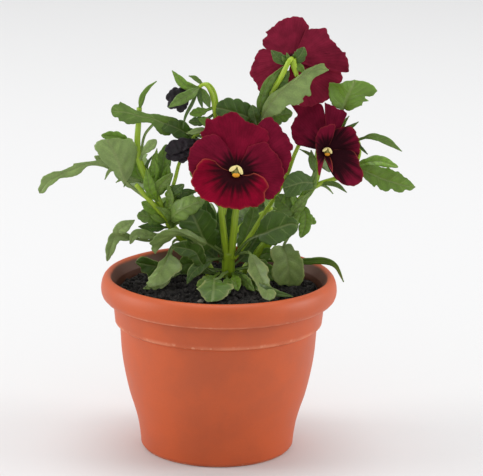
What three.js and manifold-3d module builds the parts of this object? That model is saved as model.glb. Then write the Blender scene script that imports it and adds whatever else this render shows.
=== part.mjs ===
// A pansy in bloom in a round bell pot: the pot, the soil in it, and one plant with three open
// blooms, two spent ones and its leaves. Millimetres, Z up, the origin in the middle of the pot's
// foot. The plant's front is turned to -Y.
import * as THREE from "three";
import { mergeVertices } from "three/addons/utils/BufferGeometryUtils.js";
import Module from "manifold-3d";

const wasm = await Module();
wasm.setup();

// Pot: a lathe-turned wall, given as [radius, height] from the middle of the foot, up the outside,
// over the rim and down the inside.
const POT_SIDES = 30;
const POT_PROFILE = [
  [0, 0], [50.8, 0], [52.2, 2], [54.6, 19], [60.5, 39], [63.7, 53.5], [65.8, 67], [67.3, 86.2],
  [70.4, 88], [71.6, 109], [76.6, 109], [77.4, 104.2], [79.4, 107], [80, 111.5], [78.9, 116.8],
  [76.5, 119.9], [74.6, 120.3], [73.4, 118.6], [70.4, 112], [68.3, 89], [64.8, 85], [63.7, 67],
  [61.6, 53.5], [58.3, 39], [52.4, 19], [49.8, 3], [0, 3],
];
const DRAIN_HOLES = 6;
const DRAIN_RING = 32;
const DRAIN_RADIUS = 4;
const DRAIN_SPAN = [-1, 5];

// Soil: it fills the pot to a mound round the crown of the plant.
const SOIL_PROFILE = [
  [0, 3.35], [49.4, 3.35], [52, 19], [57.9, 39], [61.2, 53.5], [63.3, 67], [64.4, 85.1],
  [67.9, 89.1],
];
const SOIL_RADIUS = 69.4;
const SOIL_LEVEL = 107;
const MOUND = { x: 4, y: 20, height: 4.5, spread: 45 };
const LUMP = 0.7;
const LUMP_WAVES = { x: 0.31, start: 0.9, y: 0.27, slant: 0.17, share: 0.6 };
const SOIL_RINGS = [0, 16, 34, 52, SOIL_RADIUS];
const HOLE_CLEARANCE = 0.9;
const HOLE_FLOOR = 0.4;

// The plant is laid out as it is seen from one eye point in front of the pot. A place is
// [across, up, out]: across and up lie in the plane of view through the pot's axis, and out is
// how far the place stands in front of that axis.
const VIEW_RISE = THREE.MathUtils.degToRad(17.5);
const EYE_DISTANCE = 1600;
const AIM = new THREE.Vector3(0, 0, 60);
const TO_EYE = new THREE.Vector3(0, -Math.cos(VIEW_RISE), Math.sin(VIEW_RISE));
const ACROSS = new THREE.Vector3(1, 0, 0);
const UPWARD = new THREE.Vector3(0, Math.sin(VIEW_RISE), Math.cos(VIEW_RISE));
const EYE = AIM.clone().addScaledVector(TO_EYE, EYE_DISTANCE);
const AIM_UP = AIM.z * Math.cos(VIEW_RISE);

// Leaf outlines: where the widest place lies, how full the outline is, and the number and depth
// of the rounded teeth along each side.
const OUTLINES = {
  round: { skew: 1.25, fullness: 0.42, teeth: 3, bite: 0.16 },
  oval: { skew: 1.0, fullness: 0.6, teeth: 2, bite: 0.15 },
  fan: { skew: 2.1, fullness: 0.6, teeth: 3, bite: 0.16 },
  spoon: { skew: 1.9, fullness: 0.6, teeth: 2, bite: 0.14 },
  lance: { skew: 0.95, fullness: 0.85, teeth: 1, bite: 0.12 },
  thin: { skew: 0.8, fullness: 0.8, teeth: 0, bite: 0 },
  husk: { skew: 1.5, fullness: 0.5, teeth: 1, bite: 0.12 },
};
const TOOTH_ROUND = 0.7;
const STALK_HALF = 0.9;
const TIP_HALF = 0.35;
const BLADE_HALF_THICK = 0.35;
const STALK_HALF_THICK = 0.8;
const BLADE_CUP = 0.12;
const LONG_STALK = 0.25;
const PLAIN_STEPS = 3;
const NARROW = 7.2;
const STEM_SIDES = 5;

// Petals: half their thickness, the radius of the throat where they join, their rows, how far each
// layer takes to rise from the throat, and the shared ruffle.
const PETAL_HALF_THICK = 0.35;
const THROAT = 2.2;
const PETAL_ROWS = 2;
const FULL_TURN = 360;
const LAYER_RISE = 7;
const RUFFLES = 5;
const RUFFLE_SPAN = 36;
const HUB_RADIUS = 3.4;
const HUB_BEVEL = 0.8;
const HUB_SIDES = 6;

// The eye is a low cushion and the heart of a spent bloom a small knob: [radius, depth].
const EYE_PROFILE = [[0, 0.3], [4.2, 0.3], [4.6, 1], [3, 2], [0, 2.3]];
const EYE_SIDES = 8;
const BUD_PROFILE = [[0, -2.4], [1.8, -1.6], [2.4, 0], [1.8, 1.6], [0, 2.4]];
const HUSK_FOLD = 0.1;

const DRAIN_SIDES = 6;
const HOLE_SIDES = 8;
const HOLE_REACH = 30;

// Shoots. A stem is [radius at the foot, radius at the tip, places]. A leaf or sepal is
// [outline, width, degrees turned from the viewer, fold, share that is stalk, places from foot to
// tip], and some also have the blade's left and right rims, as places [across, up] from base to tip.
const SHOOTS = {
  shoot_centre: {
    stems: [
      [5.2, 4.2, [[6, 102.6, -24], [6, 108, -24], [6, 113.5, -24], [6.5, 131, -19]]],
      [2.6, 1.4, [[5, 126, -20], [2.5, 145, -13], [0.5, 160, -9], [-1, 178, -8], [-2, 200, -9],
        [-3.5, 215, -9], [-4.5, 226, -8], [-6, 236, -6], [-9, 243.5, -5], [-12.5, 246, -5],
        [-16, 243.5, -5.5]]],
      [1.5, 1, [[0, 165, -10], [-1, 190, -13], [-2.5, 215, -13], [-3, 232, -12], [-5, 241, -11],
        [-9, 246, -10], [-13.5, 246, -7]]],
      [1.9, 1.4, [[2, 156, -11], [7, 178, -15], [11, 192, -15], [11.5, 198, -9], [10.5, 194, -3],
        [10.5, 186.5, 2], [10.5, 186.5, 8.8]]],
      [2.7, 1.7, [[8, 126, -19], [9.5, 145, -14], [11, 160, -13], [15, 180, -17], [21, 203, -15],
        [26, 220, -11], [30, 234, -7], [37, 245, -2], [42, 254, 3], [46, 262.5, 5], [48, 264.2, 2],
        [48, 264.2, -2.7]]],
      [2.8, 1.4, [[48.4, 264.2, 2], [50, 258, 2], [51.5, 252, 3]]],
      [1.8, 1.2, [[10, 126, -19], [21, 142, -15], [30, 157, -15], [39, 171, -18], [46, 185, -13],
        [51, 199, -11], [57, 210, -17], [66, 214, -21], [73, 207, -18], [73, 200.8, -13],
        [73, 200.8, -8.3]]],
    ],
    leaves: [
      ["round", 24, 0, 0.1, 0.56, [[6, 117, -22], [3, 115.5, -5], [0, 112.5, 6], [-3.5, 111, 12],
        [-4, 106.5, 21], [-4.5, 101, 30], [-5.5, 96, 36]], [[[-3.5, 111], [0, 110.5], [1.5, 108],
        [5, 108], [8.5, 107], [8.5, 104.5], [6, 103.5], [5.5, 101], [3.5, 99], [1.5, 97.5],
        [-1, 96.5], [-5.5, 96]], [[-3.5, 111], [-7.5, 111.5], [-10.5, 110.5], [-12.5, 108],
        [-14, 107], [-16.5, 105], [-18.5, 103.5], [-16, 101.5], [-15, 99], [-12, 97.5], [-10, 96],
        [-5.5, 96]]]],
      ["oval", 8, 0, 0.1, 0.4, [[5, 114, -20], [6, 109, 6], [6.5, 101.5, 18]]],
      ["oval", 8, 0, 0.1, 0.35, [[9, 116, -20], [11, 111.5, -2], [13, 104, 12]]],
      ["lance", 8, 20, 0.1, 0.3, [[10, 116, -20], [17, 112, -4], [24.5, 104, 12]]],
      ["oval", 15, 10, 0.2, 0.29, [[9, 129, -19], [18, 130, -13], [21.5, 129, -6], [25, 122.5, -1],
        [28, 115.5, 4], [31, 109, 9], [33.5, 102.5, 19], [35, 97.5, 25]], [[[21.5, 129], [25, 128],
        [28, 125.5], [32, 122], [34.5, 118.5], [33.5, 114.5], [35.5, 111], [35.5, 107.5],
        [38.5, 104], [40, 101.5], [38.5, 98.5], [35, 97.5]], [[21.5, 129], [20, 125], [20.5, 120],
        [20, 116.5], [23.5, 111.5], [26.5, 106.5], [28, 102.5], [31, 98], [35, 97.5]]]],
      ["lance", 7, 0, 0.1, 0.3, [[11, 113.5, -21], [26, 107.5, 8], [37, 103, 18], [51, 100.5, 22]]],
      ["round", 26, -10, 0.15, 0.3, [[5, 127, -20], [-5, 134.5, -13], [-10, 138, -10],
        [-15, 148, -6], [-21, 160, -5]]],
      ["oval", 14.8, 150, 0.12, 0.25, [[4, 129, -20], [-2, 133, -18], [-8, 136.5, -12],
        [-13.5, 137.5, -5], [-19, 140.5, 0], [-26, 142.5, 2], [-32.5, 141, 3], [-39, 137.5, 3],
        [-43, 133, 3], [-44, 128.5, 4]], [[[-8, 136.5], [-8.5, 134], [-10.5, 132], [-13, 132.5],
        [-15.5, 133.5], [-18, 136.5], [-21, 139], [-25, 140.5], [-29.5, 141], [-32, 139],
        [-34, 136.5], [-37.5, 135], [-39.5, 133], [-42, 131], [-44, 128.5]], [[-8, 136.5],
        [-10, 139.5], [-13, 140], [-17, 142], [-22, 144], [-27.5, 144], [-31.5, 145], [-34, 144.5],
        [-38, 144], [-41.5, 142], [-44.5, 139.5], [-45.5, 137.5], [-48, 134.5], [-46, 133.5],
        [-46.5, 131.5], [-44, 128.5]]]],
      ["oval", 13, 0, 0.15, 0.4, [[2, 114.5, -22], [-8, 118, -14], [-13, 124, -9], [-18, 131, -7],
        [-33, 134, -7]]],
      ["oval", 14, 0, 0.12, 0.69, [[4, 115.5, -23], [-14, 116, -21], [-28, 115.5, -20],
        [-38.5, 118, -20], [-44, 120, -20], [-50.5, 121, -19], [-57.5, 122.5, -18]], [[[-38.5, 118],
        [-41, 113.5], [-45.5, 112.5], [-49, 112], [-50, 114.5], [-53.5, 115.5], [-54, 119],
        [-56, 120.5], [-57.5, 122.5]], [[-38.5, 118], [-42, 123], [-46, 124.5], [-48, 125.5],
        [-51, 126.5], [-54, 126.5], [-56, 125], [-57.5, 122.5]]]],
      ["lance", 8, 0, 0.1, 0.3, [[-27, 115.5, -20], [-36, 111, -6], [-43, 107, 2],
        [-52, 104.5, 8]]],
      ["round", 19, 0, 0.15, 0.2, [[23, 211, -13], [20, 222, -9], [8, 227, -8], [-4, 230, -7]]],
      ["oval", 9, 0, 0.1, 0.2, [[25, 217, -12], [23, 224, -6], [21, 232, -5]]],
      ["lance", 8, 30, 0.2, 0.1, [[26, 222, -11], [27, 235, -4], [32, 248, 0], [42, 259, 1]]],
      ["oval", 20, 10, 0.2, 0.13, [[25, 219, -12], [28.5, 224.5, -6], [34, 233, -2],
        [40, 240.5, 2], [46.5, 246, 4], [53.5, 251, 6], [60.5, 255.5, 7], [66.5, 258, 8],
        [73.5, 257, 8]], [[[28.5, 224.5], [28, 226.5], [29, 232], [32, 237.5], [35, 241], [40, 244],
        [46.5, 248.5], [53.5, 253.5], [58, 257.5], [62.5, 259.5], [65.5, 261], [70, 262],
        [71, 259.5], [73.5, 257]], [[28.5, 224.5], [30.5, 222.5], [33.5, 223], [36.5, 225.5],
        [41, 227.5], [44, 230.5], [47, 233.5], [51, 233], [54.5, 234], [57, 236], [56.5, 238],
        [59, 240], [62, 239.5], [62, 242.5], [61, 245], [62.5, 250], [65, 252.5], [70, 255],
        [73.5, 257]]]],
      ["oval", 7, 0, 0.1, 0.3, [[-4, 226, -8], [-12, 221, -8], [-22.5, 219.5, -8]]],
      ["oval", 7, 10, 0.1, 0.3, [[-5, 230, -8], [-13, 227, -7], [-22, 225, -6]]],
      ["lance", 5, 20, 0.1, 0.3, [[-3, 214, -9], [-13, 214, -4.5], [-24, 211.5, -4]]],
      ["spoon", 14.5, 0, 0.12, 0.32, [[-3, 207, -9], [-12, 209, -14], [-27, 213.5, -14.5],
        [-34.5, 216.5, -12], [-42, 219.5, -8], [-49, 222, -5], [-56, 223, -2], [-62.5, 225, 0],
        [-69.5, 226, 2], [-76, 226.5, 4]], [[[-27, 213.5], [-29.5, 212], [-34.5, 211.5],
        [-36.5, 210], [-41.5, 210.5], [-44.5, 212.5], [-46.5, 215.5], [-49.5, 218.5], [-57, 218.5],
        [-61, 217.5], [-66, 217.5], [-67, 219], [-70.5, 219.5], [-71.5, 222], [-74, 222],
        [-75.5, 224], [-76, 226.5]], [[-27, 213.5], [-27.5, 217.5], [-32.5, 221.5], [-35, 222.5],
        [-39.5, 223.5], [-44.5, 225], [-50.5, 225], [-55.5, 226.5], [-59.5, 227.5], [-64, 230],
        [-69, 232.5], [-70.5, 233], [-71.5, 231.5], [-74.5, 231], [-76, 228.5], [-76, 226.5]]]],
      ["oval", 13, 0, 0.15, 0.3, [[-3, 204, -9], [-12, 206.5, -15], [-19, 209, -17],
        [-30, 215, -12], [-46, 221, -8]]],
      ["round", 24, 0, 0.08, 0.49, [[10, 127, -19], [19, 138, -8], [27, 142.5, -2], [31.5, 144, 1],
        [37, 146.5, 3], [44, 149, 5], [49.5, 150.5, 6], [54, 149, 6]], [[[27, 142.5], [26, 145],
        [28, 148.5], [28.5, 152.5], [31, 156], [33, 158], [36, 159.5], [41, 159], [45.5, 157.5],
        [47.5, 155.5], [50.5, 155], [53, 152.5], [54, 149]], [[27, 142.5], [27.5, 139.5],
        [29.5, 137.5], [31.5, 137], [34.5, 135.5], [39, 135.5], [41.5, 137], [44, 138], [47, 140],
        [48.5, 141], [51, 143], [53, 145.5], [54, 149]]]],
      ["lance", 6.5, 0, 0.2, 0, [[-16, 243.5, -5], [-26, 245.5, -4], [-34.5, 255, -3]]],
      ["lance", 3.4, 0, 0.1, 0, [[-13, 245.5, -5], [-18.5, 250, -6], [-23, 251.5, -6]]],
      ["lance", 8, 0, 0.2, 0, [[-16, 243, -4], [-22, 238.5, 0.5], [-29, 234.5, 1.5],
        [-36.5, 229.5, 1]]],
      ["lance", 6.5, 20, 0.2, 0, [[-15.5, 243.5, -6], [-11, 237, -3], [-8, 229.5, -3]]],
      ["thin", 3.5, 0, 0.1, 0, [[-16, 243, -5], [-15, 236, -3], [-13, 229, -2]]],
      ["thin", 2.4, 0, 0.1, 0, [[-16, 243, -5], [-20, 233, 0], [-24.5, 224, -2], [-26.5, 215, -4]]],
      ["oval", 9, 0, 0.15, 0, [[48, 264.2, 0], [53, 266, 2], [56.5, 272.5, 2]]],
      ["lance", 8, 0, 0.15, 0, [[47, 263.7, 0], [40, 264, 2], [33.5, 270, 2]]],
      ["thin", 3, 0, 0.1, 0, [[47, 264.2, 0], [45.5, 265, 2], [44.3, 268.5, 2]]],
      ["thin", 3.4, 0, 0.1, 0, [[47, 263.7, 0], [43, 263, 2.5], [41, 266, 3]]],
      ["lance", 5, 0, 0.1, 0, [[49, 263.2, 0], [54, 258, 3], [57, 254, 3]]],
      ["lance", 6.5, 0, 0.2, 0, [[73, 201.8, -11], [79, 213, -14.5], [86, 221, -15]]],
      ["lance", 5, 0, 0.1, 0, [[73, 201.8, -11], [81, 216, -17], [88, 225.5, -18]]],
      ["lance", 5.5, 0, 0.1, 0, [[73, 201.3, -11], [83, 213, -15], [94.5, 221.5, -15]]],
      ["thin", 3.6, 0, 0.1, 0, [[73, 200.8, -11], [84, 209, -12], [95.5, 210, -9]]],
      ["lance", 6, 0, 0.1, 0, [[10.5, 186.5, 4], [17, 195, 5], [21, 203, 5]]],
      ["lance", 6, 0, 0.1, 0, [[10.5, 186.5, 4], [1, 189, 5], [-8, 191, 5]]],
      ["lance", 6, 0, 0.1, 0, [[10.5, 186.5, 4], [14, 178, 5], [17, 169, 6]]],
    ],
  },
  shoot_left: {
    stems: [
      [3.8, 1.9, [[-6, 104.4, -30], [-6, 109, -30], [-6, 115, -30], [-12, 126, -27],
        [-24, 138, -22], [-33, 147, -16], [-38, 156, -11], [-44, 168, -8], [-51, 181, -6],
        [-56, 193, -5], [-57.5, 205, -5], [-57, 217, -5], [-56.5, 229, -5]]],
      [2.4, 1.6, [[-34, 148, -15], [-40, 156, -8], [-48, 164.5, -4], [-58, 176, -1]]],
      [1.6, 1, [[-37, 153, -12], [-36, 161, -7], [-34, 170, -5], [-31, 181, -5], [-28.5, 191, -9],
        [-23, 203, -9], [-17, 211, -8], [-13, 211.5, -6.5], [-12.7, 208.5, -5.5]]],
    ],
    leaves: [
      ["fan", 38, 180, 0.12, 0.36, [[-50, 166, -4], [-65, 177.5, -2], [-68, 185, 0],
        [-71, 192.5, 2], [-74.5, 200, 3], [-79, 207, 2]], [[[-65, 177.5], [-66, 175], [-68, 178],
        [-69.5, 179.5], [-72.5, 183.5], [-75.5, 186], [-78.5, 189], [-82, 192], [-85, 196.5],
        [-87.5, 200], [-87, 203], [-85.5, 205], [-82.5, 206.5], [-79, 207]], [[-65, 177.5],
        [-62, 181], [-59.5, 186], [-58, 191.5], [-57, 196], [-57.5, 201], [-59.5, 204.5],
        [-62, 207.5], [-64, 207.5], [-67, 206.5], [-70, 207.5], [-74, 207.5], [-79, 207]]]],
      ["oval", 8, 0, 0.1, 0.3, [[-57, 200, -5], [-68, 207.5, -6], [-82.5, 209.5, -6]]],
      ["spoon", 12, 10, 0.15, 0.35, [[-48.5, 176, -7], [-58, 179, -6.5], [-76.5, 187, -6],
        [-85, 189.5, -6], [-93, 189, -5.5], [-100, 186.5, -5], [-106.5, 183.5, -4.5],
        [-113.5, 180, -4], [-119.5, 175.5, -4], [-124, 169, -5]], [[[-76.5, 187], [-80, 187.5],
        [-86, 188.5], [-91, 188], [-94, 185.5], [-96, 183], [-99.5, 181], [-103.5, 180],
        [-108.5, 179.5], [-110.5, 179], [-112.5, 177], [-115.5, 174.5], [-117.5, 173.5], [-119, 171],
        [-121, 169], [-124, 169]], [[-76.5, 187], [-78.5, 190.5], [-82, 192.5], [-88.5, 191.5],
        [-93, 191], [-99, 190], [-101.5, 189.5], [-101, 188.5], [-104, 187], [-109.5, 184.5],
        [-114, 184], [-117.5, 182.5], [-121.5, 180.5], [-123, 178], [-123.5, 175], [-125, 172],
        [-124, 169]]]],
      ["thin", 2.4, 0, 0.1, 0.1, [[-70, 185, -5], [-76, 185.5, -4], [-79.5, 179, -3]]],
      ["thin", 3.2, 0, 0.1, 0.1, [[-58, 179, -6.5], [-66, 180.5, -4], [-72, 177, -3]]],
      ["thin", 3.6, 0, 0.1, 0.1, [[-55, 178.2, -6.5], [-63.5, 178.5, -4], [-66.5, 174, -3]]],
      ["lance", 3.4, 20, 0.2, 0.1, [[-56.5, 225, -5], [-55.5, 235, -5], [-51, 242.5, -5],
        [-45, 247.5, -5]]],
      ["thin", 4, 10, 0.1, 0.1, [[-56.5, 227, -5], [-54.5, 237, -6], [-50.5, 243.5, -6.5]]],
      ["spoon", 7, 0, 0.1, 0.2, [[-55.5, 192, -5], [-53, 198, 0], [-44.5, 207, 2]]],
      ["lance", 9, 0, 0.1, 0.55, [[-55, 194, -5], [-53.5, 207, -8], [-50, 214, -11],
        [-42, 220, -16], [-29, 215, -20]]],
      ["oval", 12, 0, 0.1, 0.1, [[-43, 165, -8], [-41, 178, -10], [-39.5, 192, -12],
        [-37.5, 204, -13]]],
      ["thin", 2.2, 0, 0.1, 0.1, [[-51, 180, -6], [-50.5, 190, -6], [-45.5, 197.5, -6]]],
      ["thin", 2.2, 0, 0.1, 0.1, [[-51, 180, -6], [-48, 187, -6], [-43.5, 190, -6]]],
      ["lance", 8, 0, 0.15, 0.1, [[-42, 164, -8], [-48, 172, 0], [-51, 187, 2]]],
      ["oval", 12, 0, 0.1, 0.1, [[-50, 178, -6], [-57, 184, -9], [-59, 198, -11]]],
      ["spoon", 6.5, 0, 0.1, 0.2, [[-40, 160, -10], [-33, 170, -2], [-25, 176.5, 0]]],
      ["oval", 6, 0, 0.1, 0.2, [[-38.5, 157, -10], [-27, 169.5, -4], [-16, 172, -5]]],
      ["oval", 15, 180, 0.1, 0.1, [[-35.5, 150, -13], [-30, 157, 0], [-21, 162, 4],
        [-10.5, 166, 4]]],
      ["round", 11, 0, 0.1, 0.1, [[-36, 151, -13], [-47, 154, -5], [-57, 154.5, -2]]],
      ["lance", 7, 0, 0.15, 0.2, [[-33, 147, -16], [-44, 146.5, -12], [-56, 147, -11]]],
      ["oval", 7, 0, 0.1, 0.35, [[-31, 145, -17], [-46, 141, -8], [-57, 142, -5],
        [-61.5, 135, -4]]],
      ["oval", 8, 0, 0.15, 0.5, [[-29, 143, -19], [-47, 137.5, -12], [-62, 139.5, -8],
        [-72, 139, -6], [-77, 123, -5]]],
      ["lance", 9, 0, 0.1, 0.1, [[-62, 139.5, -8], [-69.5, 143.5, -5], [-58.5, 151.5, -4]]],
      ["oval", 14, 0, 0.2, 0.21, [[-22, 136, -23], [-29, 138.5, -20], [-32.5, 135.5, -18],
        [-35, 127, -15], [-38, 120, -4], [-42, 113.5, 6], [-48, 105.5, 14]], [[[-32.5, 135.5],
        [-32, 131.5], [-32.5, 128], [-29.5, 124.5], [-27, 121], [-26, 117.5], [-27.5, 114],
        [-31, 112], [-32, 110.5], [-33.5, 110], [-35.5, 107.5], [-39.5, 105.5], [-42, 106],
        [-44.5, 105], [-48, 105.5]], [[-32.5, 135.5], [-34.5, 132.5], [-36, 128.5], [-37.5, 126],
        [-40, 123.5], [-42.5, 121], [-43, 118.5], [-45.5, 115], [-47.5, 112.5], [-49, 111.5],
        [-48.5, 109.5], [-50, 107.5], [-48, 105.5]]]],
      ["oval", 22, 170, 0.1, 0.1, [[-46, 172, -8], [-60, 184, -22], [-76, 194, -32]]],
      ["oval", 18, 180, 0.1, 0.1, [[-53, 185, -6], [-58, 192, -20], [-64, 198, -38]]],
    ],
  },
  shoot_right: {
    stems: [
      [4.6, 2.1, [[17, 104.4, -30], [17, 109, -30], [17, 115, -30], [25, 127, -27], [35, 140, -22],
        [46, 154, -16], [55, 166, -11], [62, 175, -8], [66, 185, -9], [67, 196, -17], [69, 208, -27],
        [74, 219, -26], [79, 227, -18]]],
      [2, 1.2, [[62, 175, -8], [70, 179, -8], [80, 182.5, -12], [90, 188, -15], [95, 198, -16],
        [95, 206, -15], [93, 211, -14]]],
    ],
    leaves: [
      ["round", 25, 0, 0.1, 0.44, [[45, 153, -17], [49, 146, -11], [44, 135, -8],
        [45.5, 128.5, -5], [47, 121.5, -4], [47.5, 114.5, -4], [48, 107.5, -5]], [[[44, 135],
        [47, 136.5], [50, 135.5], [51.5, 132.5], [54.5, 132], [55.5, 128.5], [57.5, 125.5],
        [58, 120.5], [58.5, 115.5], [57, 111], [54.5, 108.5], [51, 108.5], [48, 107.5]], [[44, 135],
        [39.5, 135], [36.5, 134], [34.5, 131.5], [35.5, 127], [37, 123.5], [35.5, 119.5],
        [36, 114.5], [38.5, 111], [42, 108.5], [44.5, 109], [48, 107.5]]]],
      ["oval", 15, 0, 0.1, 0.1, [[52, 162, -12], [47, 161.5, -8], [39, 170, -11]]],
      ["oval", 9.5, 0, 0.1, 0.1, [[52, 162, -12], [58, 159, -8], [58.5, 150, -7], [55.5, 141, -7]]],
      ["round", 6.5, 0, 0.1, 0.2, [[54, 164, -11], [61, 154.5, -11], [66, 151, -11]]],
      ["lance", 5.5, 20, 0.15, 0.3, [[24, 126, -27], [44, 124.5, -24], [60, 125, -18],
        [72, 125.5, -12], [80, 122, -8], [85.5, 111, -6]]],
      ["round", 18, 0, 0.1, 0.15, [[63, 178, -8], [63, 178.5, -4], [57.5, 179, 0], [51, 177.5, 2],
        [43, 174.5, 3]], [[[63, 178.5], [62.5, 175.5], [60, 173.5], [55.5, 172.5], [54, 170],
        [49, 168.5], [45, 169.5], [43.5, 172.5], [43, 174.5]], [[63, 178.5], [62, 182.5],
        [59, 184.5], [56.5, 185.5], [54, 187], [49.5, 186], [46, 184], [44, 181], [43, 177.5],
        [43, 174.5]]]],
      ["oval", 6, 0, 0.1, 0.1, [[54, 164, -11], [51, 166, -6], [49.5, 171, -5]]],
      ["thin", 3.6, 0, 0.1, 0.1, [[68, 178.5, -8], [79, 178, -4], [87, 172.5, -3]]],
      ["thin", 1.8, 0, 0.1, 0.1, [[67, 178, -8], [73, 176, -6], [77.5, 171.5, -6]]],
      ["lance", 5.5, 0, 0.1, 0.2, [[65.5, 183, -8], [63, 193, -6], [62, 201.5, -8.5]]],
      ["thin", 2.4, 0, 0.1, 0.1, [[66.5, 193, -15], [61, 198.5, -14], [54, 202, -14]]],
      ["oval", 18, 10, 0.15, 0.17, [[89, 187, -15], [95.5, 188.5, -10], [104, 185.5, -7],
        [112, 182, -5], [120.5, 179.5, -3], [127, 177.5, -2], [134, 177, -3]], [[[95.5, 188.5],
        [98, 190.5], [103.5, 192], [109, 191], [113.5, 190], [115.5, 190.5], [120, 188],
        [123, 187.5], [126.5, 184], [128.5, 183], [131.5, 180], [134, 177]], [[95.5, 188.5],
        [97, 185], [99.5, 182], [102.5, 179.5], [106, 176.5], [107.5, 178], [110, 175], [115, 173.5],
        [117.5, 175.5], [120.5, 173.5], [125, 173], [127, 175], [130.5, 174.5], [134, 177]]]],
      ["oval", 9, -30, 0.1, 0.1, [[90, 188, -15], [100, 193, -12], [110, 194, -11],
        [122, 190.5, -11]]],
      ["lance", 5.5, 10, 0.15, 0.1, [[94, 209, -15], [104, 211.5, -10], [114, 208.5, -8],
        [124.5, 201.5, -8]]],
      ["thin", 2, 0, 0.1, 0.1, [[95, 206, -15], [97, 203, -12], [101, 199, -11]]],
      ["fan", 29, 16, 0.1, 0.18, [[79, 227, -18], [83.5, 230.5, -18.5], [85.5, 236, -14],
        [88, 242, -7], [90, 246, -5], [91.5, 250.5, -5]], [[[83.5, 230.5], [80, 231.5], [77, 233.5],
        [75.5, 236.5], [74, 241], [73.5, 246.5], [74, 250], [76, 250.5], [81, 249.5], [85, 250.5],
        [88, 250], [91.5, 250.5]], [[83.5, 230.5], [88, 230], [93, 233], [97, 234.5], [97.5, 236.5],
        [101.5, 237.5], [99.5, 239.5], [99, 241.5], [102.5, 242.5], [105, 244.5], [107, 247.5],
        [103, 249], [97.5, 250], [94.5, 250], [91.5, 250.5]]]],
      ["oval", 20, 180, 0.1, 0.1, [[67, 190, -12], [76, 196, -26], [87, 199, -38]]],
      ["oval", 18, 180, 0.1, 0.1, [[69, 208, -27], [78, 211, -36], [88, 212, -46]]],
    ],
  },
  shoot_back: {
    stems: [
      [3.4, 1.6, [[6, 109.2, -46], [6, 114.5, -46], [6, 120, -46], [5, 140, -50], [4, 165, -52],
        [6, 190, -50], [10, 212, -46]]],
      [2.2, 1.4, [[5, 136, -49], [-6, 150, -56], [-22, 163, -60]]],
      [2.2, 1.4, [[5, 140, -50], [20, 152, -58], [36, 161, -62]]],
    ],
    leaves: [
      ["round", 26, 0, 0.1, 0.25, [[6, 128, -47], [-4, 143, -58], [-12, 148, -82]]],
      ["round", 26, 0, 0.1, 0.25, [[6, 130, -47], [17, 145, -62], [24, 151, -86]]],
      ["oval", 20, 150, 0.1, 0.2, [[4, 150, -51], [-12, 158, -66], [-32, 162, -74]]],
      ["oval", 20, 200, 0.1, 0.2, [[4, 155, -51], [20, 163, -68], [36, 166, -76]]],
      ["round", 24, 170, 0.1, 0.25, [[4, 165, -52], [-8, 178, -62], [-12, 198, -66]]],
      ["round", 24, 190, 0.1, 0.25, [[4, 170, -52], [20, 180, -62], [32, 194, -68]]],
      ["oval", 18, 180, 0.1, 0.2, [[5, 186, -50], [0, 200, -58], [-5, 216, -60]]],
      ["oval", 18, 180, 0.1, 0.2, [[8, 200, -49], [20, 207, -56], [28, 216, -58]]],
      ["oval", 20, 0, 0.1, 0.1, [[30, 158, -61], [36, 162, -76], [38, 164, -98]]],
      ["oval", 20, 0, 0.1, 0.1, [[-18, 160, -59], [-24, 164, -76], [-28, 168, -98]]],
      ["round", 24, 0, 0.1, 0.2, [[4, 145, -50], [6, 160, -70], [8, 170, -98]]],
      ["oval", 18, 180, 0.1, 0.1, [[36, 161, -62], [46, 158, -60], [54, 150, -56]]],
      ["oval", 18, 180, 0.1, 0.1, [[-22, 163, -60], [-34, 160, -56], [-46, 154, -50]]],
      ["oval", 14, 180, 0.1, 0.1, [[10, 212, -46], [14, 217, -40], [18, 224, -36]]],
    ],
  },
};

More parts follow.
